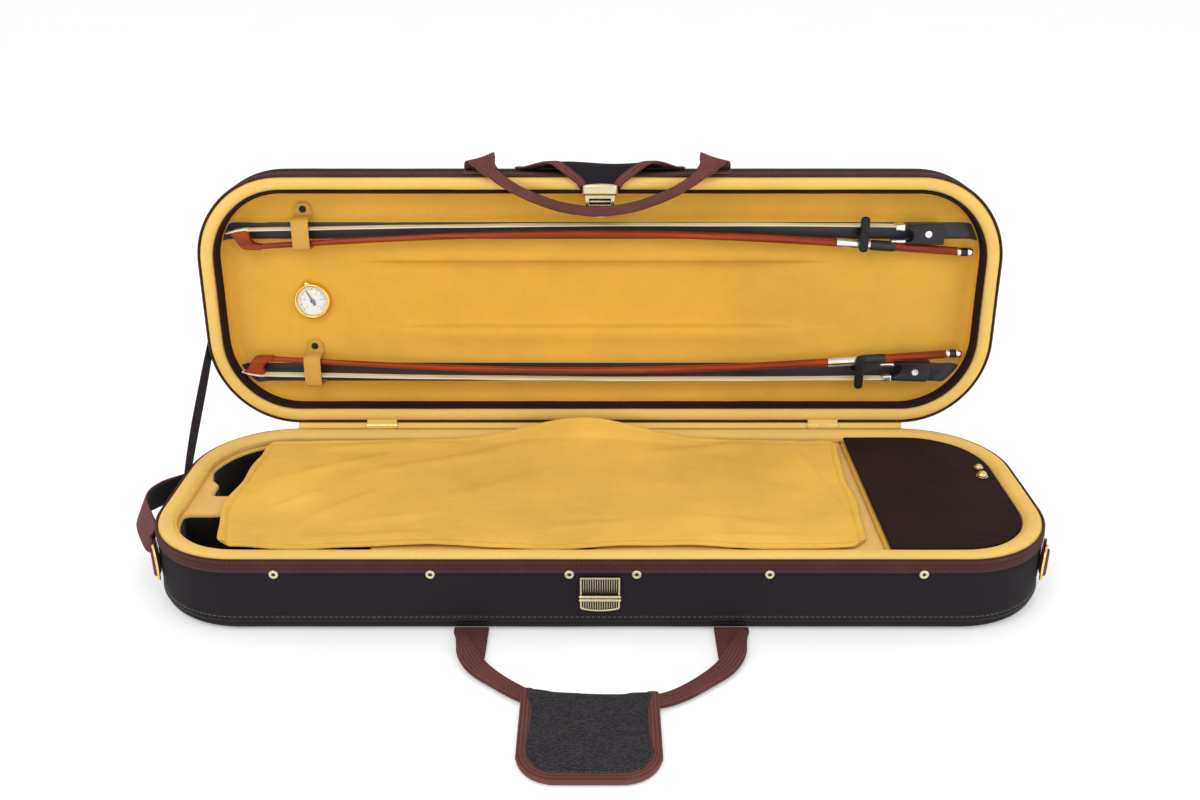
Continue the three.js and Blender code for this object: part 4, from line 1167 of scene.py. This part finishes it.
def make_hygrometer():
    at = on_liner(-295, 128)
    case = [(0, -1), (18.6, -1), (18.9, 0.4), (18.6, 2.0), (18.9, 3.2), (18.6, 5.0), (18.0, 6.2),
            (17.0, 6.8), (16.0, 6.6), (15.5, 5.8), (15.4, 2.4), (0, 2.2)]
    lathed("hygrometer_bezel", case, at, 72, GILT, "lid", replaces="hygrometer_case")
    card = [(0, 2.3), (15.2, 2.3), (15.2, 2.95), (14.9, 3.05), (0, 3.05)]
    lathed("hygrometer_face", card, at, 64, DIAL, "lid", replaces="hygrometer_dial")
    box = [(0, 1, 2, 3), (7, 6, 5, 4), (0, 4, 5, 1), (1, 5, 6, 2), (2, 6, 7, 3), (3, 7, 4, 0)]
    bars = []
    for k in range(51):
        a = math.radians(225 - 270 * k / 50)
        r0, r1, w = (10.6, 13.4, 0.26) if k % 5 == 0 else (12.0, 13.4, 0.14)
        c, s = math.cos(a), math.sin(a)
        corners = [(r0, -w), (r1, -w), (r1, w), (r0, w)]
        pts = [(r * c - q * s, r * s + q * c, z) for z in (3.0, 3.12) for r, q in corners]
        bars.append((at(np.array(pts)), box, [(0, 0)] * 24))
    made("hygrometer_ticks", merged(bars), INK, "lid")
    words = []
    for k in range(6):
        a = math.radians(225 - 54 * k)
        curve = bpy.data.curves.new("figure", "FONT")
        curve.body, curve.size, curve.align_x, curve.align_y = str(20 * k), 2.6, "CENTER", "CENTER"
        curve.extrude, curve.resolution_u = 0.05, 2
        p, faces = mesh_parts(curve)
        p += np.array([8.4 * math.cos(a), 8.4 * math.sin(a), 3.1])
        words.append((at(p), faces, [(0, 0)] * sum(len(q) for q in faces)))
    made("hygrometer_figures", merged(words), INK, "lid", weld=0.001)
    refinished("hygrometer_needle", BLACK)
    refinished("hygrometer_glass", GLASS)
    crown = [(0, 0), (3.4, 0), (3.6, 1.6), (3.0, 3.2), (1.8, 4.2), (0, 4.6)]
    top = lambda p: at(np.stack([-4.5 + p[:, 0], 17.2 + p[:, 2] * 0.9, 3.6 + p[:, 1]], 1))
    lathed("hygrometer_lug", crown, top, 28, GILT, "lid")


def make_clips():
    x, d = -297, 20.6
    at = on_liner(x, 0)
    for name, near, far in (("upper", 183.5, 217.0), ("lower", 39.5, 73.5)):
        path = [(near + 1.3, 0.2), (near + 1.3, 6), (near + 1.3, 15), (near + 2.6, 19.4), (near + 6.5, d),
                (near + 12, d + 0.2), (far - 12, d + 0.2), (far - 6.5, d), (far - 2.6, 19.0),
                (far - 1.4, 14), (far - 1.4, 6), (far + 0.2, 2.0), (far + 3.5, 1.4), (far + 8, 1.3)]
        up, down, slope = (0, 0, -1), (0, 1, 0), (0, -0.7, -0.7)
        normals = [down] * 3 + [(0, 0.7, -0.7)] + [up] * 4 + [slope] + [(0, -1, 0)] * 2 + [slope] + [up] * 2
        points = at(np.array([(0, v, h) for v, h in path], float))
        strap(f"bow_clip_{name}_web", points, 17, 2.2, normals, CLIP, "lid", steps=100,
              replaces=f"bow_clip_{name}")
        tab = rounded([(-7.6, far - 1), (7.6, far - 1), (7.6, far + 12.5), (-7.6, far + 12.5)],
                      [1, 1, 7.4, 7.4], 8)
        plate(f"bow_clip_{name}_tab", [tab], 0.1, 2.6, 0.7, CLIP, "lid", at)
        hole = on_liner(x, far + 5.6)
        ring = [(0, 2.4), (3.5, 2.4), (3.6, 2.9), (3.1, 3.3), (2.6, 3.2), (2.3, 2.9), (0, 2.85)]
        lathed(f"bow_clip_{name}_washer", ring, hole, 32, DARK_BRASS, "lid")
        head = [(0, 2.8), (2.25, 2.8), (2.1, 3.2), (1.2, 3.45), (0, 3.5)]
        lathed(f"bow_clip_{name}_screw", head, hole, 24, BLACK, "lid")


def make_turn_buttons():
    bar = rect(-4.4, 4.4, -17.8, 17.8, 4.3, 10)
    post = [(0, 0), (5.4, 0), (5.4, 1.4), (3.4, 2.4), (2.9, 5), (2.9, 18.6), (0, 18.6)]
    for name, x, v in (("upper", 262, 201), ("lower", 268, 56.5)):
        at, body = on_liner(x, v), f"turn_button_{name}"
        plate(f"{body}_bar", [bar], 18.2, 23.4, 1.9, BLACK, body, at, segments=5, replaces=body)
        lathed(f"{body}_post", post, at, 28, BLACK, body)


FACE = FRONT - 0.3
LID_TAB_LOW = 77.0
HASP = plumb(FACE - 3.6, 70)
HANDLE = plumb(FACE - 4.7, 76)


def make_latch():
    place, run = bent_sheet([(179, 333.6), (171, 335.4), (160, 341.4), (152, 344.2), (146, 342.4),
                             (143.2, 336.5), (142, 329), (141.7, 321)])
    flap_edge = lambda at: np.interp(at, [0, 29, 41, 50, run], [85, 51, 34, 22.5, 19.5])
    sag_at = lambda x, y: 1.1 * np.sin(x / 15.0 + 0.6) * np.sin(math.pi * np.clip(y / run, 0, 1)) ** 2
    along = np.linspace(0, run, 40)
    x = np.linspace(-1, 1, 60)[:, None] * flap_edge(along)[None, :]
    y = np.repeat(along[None, :], 60, 0)
    sag = sag_at(x, y)
    flap = pad("latch_flap_cloth", np.stack([x, y], 2), 0.5 + sag, sag - 0.5, CANVAS, None, place,
               replaces="latch_flap", angle=70)
    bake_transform(flap)
    for side, k in (("left", -1), ("right", 1)):
        steps = np.linspace(0.6, run - 3.5, 14)
        edge = k * (flap_edge(steps) - 3.2)
        low, high = (place(np.stack([edge, steps, sag_at(edge, steps) - h], 1)) for h in (0.3, 1.3))
        binding = strap(f"latch_flap_binding_{side}", low, 8, 2.6, high - low, WEBBING, None, steps=60,
                        power=3.5)
        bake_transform(binding)
    hang = lambda p: np.stack([p[:, 0], FACE - p[:, 2], p[:, 1]], 1) + HASP
    turn = np.linspace(math.pi, 2 * math.pi, 25)
    body = [(-14.2, 48)] + [(14.2 * math.cos(a), 39.7 + 14.2 * math.sin(a)) for a in turn] + [(14.2, 48)]
    plates = [("plate", [body, rect(-10.5, 10.5, 38.5, 44.5, 1.2, 4)], 5.3, 6.9, 0.45, PALE_BRASS),
              ("backing", [rect(-11.8, 11.8, 37, 46, 1, 3)], 5.1, 5.6, 0.15, SHADE),
              ("window_frame", [rect(-12.2, 12.2, 37.0, 46.0, 1.6, 4),
                                rect(-10.7, 10.7, 38.3, 44.7, 1.2, 4)], 6.7, 7.6, 0.3, PALE_BRASS),
              ("catch_bar", [rect(-10.4, 10.4, 40.6, 42.4, 0.7, 3)], 5.5, 6.7, 0.4, PALE_BRASS)]
    for name, outlines, back, front, bevel, finish in plates:
        plate(f"hasp_{name}", outlines, back, front, bevel, finish, "hasp", hang,
              replaces="hasp" if name == "plate" else ())
    X, T = np.meshgrid(np.linspace(-1, 1, 40) * 17.5, np.linspace(0, 1, 30), indexing="ij")
    Z = 46.8 + 11.8 * T + 1.3 * (1 - (X / 17.5) ** 2) * T
    bulge = 6.0 * np.sqrt(np.clip(1 - (2 * T - 1) ** 4, 0.001, 1)) * np.sqrt(np.clip(1 - (X / 17.8) ** 8,
                                                                                     0.001, 1))
    pad("hasp_clamp", np.stack([X, Z], 2), 3.5 + bulge, np.full(X.shape, 3.5), PALE_BRASS, "hasp", hang,
        angle=60)
    small = [(0, 6.8), (1.5, 6.8), (1.4, 7.3), (0.8, 7.65), (0, 7.75)]
    large = [(0, 6.8), (2.0, 6.8), (1.9, 7.4), (1.0, 7.8), (0, 7.9)]
    rivets = []
    for x, z, head, sides in ((-8, 34.5, small, 20), (8, 34.5, small, 20), (0, 30.0, large, 24)):
        rivets.append(lathe_parts(head, lambda p: hang(p + np.array([x, z, 0])), sides))
    made("hasp_rivets", merged(rivets), BRASS, "hasp", weld=0.003)


def make_lid_handle():
    half = [(111, -134.2, 78.5), (105, -141, 77.5), (92, -147, 68.5), (74, -149.5, 58), (54, -150, 49.5),
            (32, -150, 42.6)]
    left = [(-x - 2.5, y, z) for x, y, z in half]
    right = [(x - 2.5, y, z) for x, y, z in half][::-1]
    points = np.array(left + [(-2.5, -150, 38.8)] + right, float) + HANDLE
    wide = [14, 12, 10.5] + [10] * 7 + [10.5, 12, 14]
    deep = [4, 5.6, 6.6] + [6.8] * 7 + [6.6, 5.6, 4]
    ends, turns = [(0, -0.5, 1)] * 2, [(0, -1, 0.5)] * 2
    normals = ends + turns + [(0, -1, 0.25)] * 5 + turns + ends
    strap("lid_handle_loop", points, wide, deep, normals, WEBBING, "lid_handle", steps=160, power=2.8,
          sides=24, replaces="lid_handle")
    for side, x, k in (("left", -118, -1), ("right", 113, 1)):
        tab = rect(x - 15, x + 15, LID_TAB_LOW, LID_TAB_LOW + 26, 2.5, 4)
        plate(f"lid_handle_tab_{side}_web", [tab], 0.1, 2.2, 0.6, WEBBING, "lid",
              facing_front(0, FACE, 0), replaces=f"lid_handle_tab_{side}")
        for label, off in (("a", -12.3), ("b", 12.3)):
            seam = [(x + off, FACE - 2.3, LID_TAB_LOW + up) for up in (2, 24)]
            stitches(f"lid_handle_tab_{side}_stitch_{label}", seam, (0, -1.0, 0), THREAD, "lid", pitch=3.0,
                     long=2.2, radius=0.28)
        path = [(x, 174, 334.4), (x, 165, 335.8), (x - k, 158.5, 343), (x - 3 * k, 153, 348.6),
                (x - 6 * k, 147.5, 348), (x - 10 * k, 143.2, 342), (x - 16 * k, 141, 337)]
        normals = [(0, 0, 1), (0, 0.3, 1), (k * 0.15, 0.7, 0.7), (k * 0.3, 0.3, 0.9), (k * 0.3, -0.5, 0.8),
                   (k * 0.3, -0.9, 0.5), (0, -1, 0.5)]
        wide, deep = [30, 30, 30, 29, 25, 18, 12], [2, 2, 2.2, 2.4, 3, 4.4, 5.6]
        fin = strap(f"lid_handle_fin_{side}", path, wide, deep, normals, WEBBING, None, steps=60, power=3.6)
        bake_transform(fin)


# ---------- bows ----------
TIP_X, END_X, STICK_END, FROG_X = -358.0, 372.0, 357.0, 302.0


def bow_share(x):
    """How far along the bow x is, from 0 at its tip to 1 at its end."""
    return (np.asarray(x, float) - TIP_X) / (END_X - TIP_X)


def stick_y(x):
    return 16.5 * np.sin(math.pi * bow_share(x)) - 5.0 * bow_share(x)


def hair_y(x):
    return 19 + 3.5 * bow_share(x) + 3.5 * np.sin(math.pi * bow_share(x))


def stick_line(x):
    return np.stack([x, stick_y(x), 0 * x], 1)


def make_bow(name, line, over):
    """One bow, its local x along it and y from stick to hair; over turns it half way round its length."""
    flip = -1 if over else 1
    at = lambda p: np.stack([p[:, 0], line + flip * p[:, 1], 88.0 + flip * p[:, 2]], 1)
    taper = lambda x: (x - TIP_X) / 720 * 1.6

    def add(part, parts, finish, **more):
        made(f"bow_{name}_{part}", parts, finish, "lid", **more)

    def cut(part, outline, half, bevel, finish, **more):
        plate(f"bow_{name}_{part}", [outline], -half, half, bevel, finish, "lid", at, **more)

    x = np.linspace(TIP_X + 6, STICK_END, 130)
    add("shaft", tube_parts(at(stick_line(x)), 2.7 + taper(x), 20), WOOD, replaces=f"bow_{name}_stick")
    head = [(20, 2.9), (15, 3.4), (11.6, 5.0), (9.4, 8.4), (8.6, 13), (8.4, 17.4), (3, 17.0), (-5, 15.6),
            (-12.5, 14.6), (-9.0, 12.0), (-6.2, 8.0), (-3.4, 3.2), (-0.2, -0.9), (4, -2.8), (10, -2.9),
            (20, -2.6)]
    head_y = float(stick_y(TIP_X + 14))
    outline = [(TIP_X + a, b + head_y) for a, b in resample(head + head[:1], 90)[:-1]]
    cut("head", outline, 3.9, 1.7, WOOD, segments=5, angle=60)
    tip = [(8.9, 17.2), (3, 16.8), (-5, 15.4), (-13.8, 13.4), (-14.2, 14.2), (-5, 17.2), (3, 18.6),
           (8.9, 19.0)]
    cut("tip_plate", [(TIP_X + a, b + head_y) for a, b in tip], 4.1, 0.3, IVORY)
    hx = np.linspace(TIP_X + 7, FROG_X + 3, 90)
    lines = []
    for k in range(13):
        wave = 0.18 * np.sin(hx / (19 + k) + 1.7 * k)
        lines.append(at(np.stack([hx, hair_y(hx) - 1.0 + wave, np.full(90, -5.0 + 10.0 * k / 12)], 1)))
    add("hair_strands", merged([tube_parts(hair, 0.72, 7) for hair in lines]), HAIR,
        replaces=f"bow_{name}_hair")
    frog = rounded([(-2, 23.6), (-2, 19.6), (4, 19.2), (9, 16.4), (10, 11), (7.6, 7.4), (2, 6.6),
                    (1.5, 4.4), (40, 3.6), (40.6, 17), (38, 25)], [1, 1, 3, 4, 3, 2, 1, 1, 1, 3, 4], 5)
    cut("frog_body", [(FROG_X + a, b) for a, b in frog], 6, 1.2, EBONY, replaces=f"bow_{name}_frog")
    rim = [(0, 0), (3.3, 0), (3.4, 0.35), (2.9, 0.55), (2.4, 0.4), (0, 0.3)]
    eye = [(0, 0.2), (2.0, 0.2), (1.9, 0.5), (1.2, 0.65), (0, 0.7)]
    for s, face in ((-1, "back"), (1, "front")):
        spot = lambda p: at(np.stack([FROG_X + 24 + p[:, 0], 14.6 + p[:, 1] * s, s * (5.9 + p[:, 2])], 1))
        add(f"eye_ring_{face}", lathe_parts(rim, spot, 36), SILVER, weld=0.003)
        add(f"eye_pearl_{face}", lathe_parts(eye, spot, 32), PEARL, weld=0.003)
    ferrule = rounded([(-9, 18.4), (0.6, 17.4), (0.6, 25.2), (-9, 24.2)], 1.6, 5)
    cut("ferrule", [(FROG_X + a, b) for a, b in ferrule], 6.4, 1.6, SILVER, segments=5)
    slide = rounded([(-12, 5.4), (3, 4.8), (3, 8.8), (-12, 8.4)], 1.6, 5)
    cut("slide", [(FROG_X + a, b) for a, b in slide], 4.4, 1.4, SILVER)
    turns = 64
    a = np.linspace(0, 2 * math.pi * turns, turns * 10)
    wound = np.linspace(FROG_X - 66, FROG_X - 32.6, len(a))
    core = 3.7 + taper(wound)
    coil = np.stack([wound, stick_y(wound) + core * np.cos(a), core * np.sin(a)], 1)
    add("winding", tube_parts(at(coil), 0.27, 6), SILVER)
    sleeve = np.linspace(FROG_X - 66, FROG_X - 32.6, 14)
    add("sleeve", tube_parts(at(stick_line(sleeve)), 3.84 + taper(sleeve), 24), SILVER)
    grip = np.linspace(FROG_X - 32.4, FROG_X - 7, 26)
    thick = np.array([4.4] + [5.0] * 3 + [5.2] * 18 + [5.0] * 3 + [4.5]) + 0.12 * np.sin(grip * 2.2)
    add("grip_wrap", tube_parts(at(stick_line(grip)), thick, 24), LEATHER, replaces=f"bow_{name}_grip")
    screw_y = float(stick_y(STICK_END + 8))
    axis = lambda p: at(np.stack([STICK_END + 0.2 + p[:, 2], screw_y + p[:, 0], p[:, 1]], 1))
    collar = [(0, 0), (4.4, 0), (4.6, 0.6), (4.6, 3.4), (4.3, 3.8), (4.1, 4.0), (0, 4.1)]
    black = [(0, 3.9), (4.15, 3.9), (4.3, 4.4), (4.3, 10.2), (4.1, 10.6), (0, 10.7)]
    cap = [(0, 10.4), (4.4, 10.4), (4.6, 11), (4.5, 14.4), (4.0, 15.6), (2.6, 16.3), (1.4, 16.9), (0, 17.1)]
    add("button_rings", merged([lathe_parts(ring, axis, 32) for ring in (collar, cap)]), SILVER, weld=0.003,
        replaces=f"bow_{name}_button")
    add("button_core", lathe_parts(black, axis, 32), EBONY, weld=0.003)


make_base()
make_blanket()
make_accessory_lid()
make_studs()
make_lock()
make_side_handle()
make_rings()
make_hinges()
make_stay()
make_base_handle()
make_lid_shell()
make_liner()
make_hygrometer()
make_clips()
make_turn_buttons()
make_latch()
make_lid_handle()
make_bow("upper", -54.5, True)
make_bow("lower", 61.5, False)


# ---------- stage ----------
def make_stage():
    mesh = bpy.data.meshes.new("floor")
    mesh.from_pydata([(-8, -5, -0.0004), (8, -5, -0.0004), (8, 9, -0.0004), (-8, 9, -0.0004)], [],
                     [(0, 1, 2, 3)])
    floor = bpy.data.objects.new("floor", mesh)
    bpy.context.scene.collection.objects.link(floor)
    n = Nodes("floor_paper")
    n.set(Base_Color=n.ramp(n.noise(3, 2), (0.3, (0.93, 0.93, 0.94)), (0.7, (0.95, 0.95, 0.96))),
          Roughness=0.8)
    n.set(Emission_Color=(1, 1, 1, 1), Emission_Strength=0.22)
    mesh.materials.append(n.mat)
    world = bpy.data.worlds.new("studio")
    bpy.context.scene.world = world
    world.use_nodes = True
    tree = world.node_tree
    tree.nodes["Background"].inputs[0].default_value = (1.0, 1.0, 1.0, 1)
    where, apart = tree.nodes.new("ShaderNodeTexCoord"), tree.nodes.new("ShaderNodeSeparateXYZ")
    fall = tree.nodes.new("ShaderNodeMapRange")
    for value, number in (("From Min", 0.3), ("From Max", 0.95), ("To Min", 1.15), ("To Max", 0.54)):
        fall.inputs[value].default_value = number
    tree.links.new(where.outputs["Generated"], apart.inputs[0])
    tree.links.new(apart.outputs[2], fall.inputs["Value"])
    tree.links.new(fall.outputs[0], tree.nodes["Background"].inputs[1])
    for name, at, aim, size, power in (("key", (-0.7, -1.3, 1.9), (0, 0, 0.1), 1.4, 13),
                                       ("fill", (1.3, -1.2, 1.1), (0, 0, 0.15), 1.6, 5),
                                       ("top", (0.1, 0.5, 2.1), (0, 0, 0.1), 1.6, 6)):
        light = bpy.data.lights.new(name, "AREA")
        light.shape, light.size, light.energy = "SQUARE", size, power
        lamp = bpy.data.objects.new(name, light)
        lamp.location = at
        lamp.rotation_euler = (Vector(aim) - Vector(at)).to_track_quat("-Z", "Y").to_euler()
        bpy.context.scene.collection.objects.link(lamp)
    camera = bpy.data.objects.new("camera", bpy.data.cameras.new("camera"))
    camera.data.sensor_width = 36
    camera.data.lens = 34.67
    camera.location = (0, -0.9618, 0.5896)
    camera.rotation_euler = (Vector((0, 0, 0.1612)) - camera.location).to_track_quat("-Z", "Y").to_euler()
    bpy.context.scene.collection.objects.link(camera)
    bpy.context.scene.camera = camera
    bpy.context.scene.view_settings.view_transform = "Standard"


make_stage()
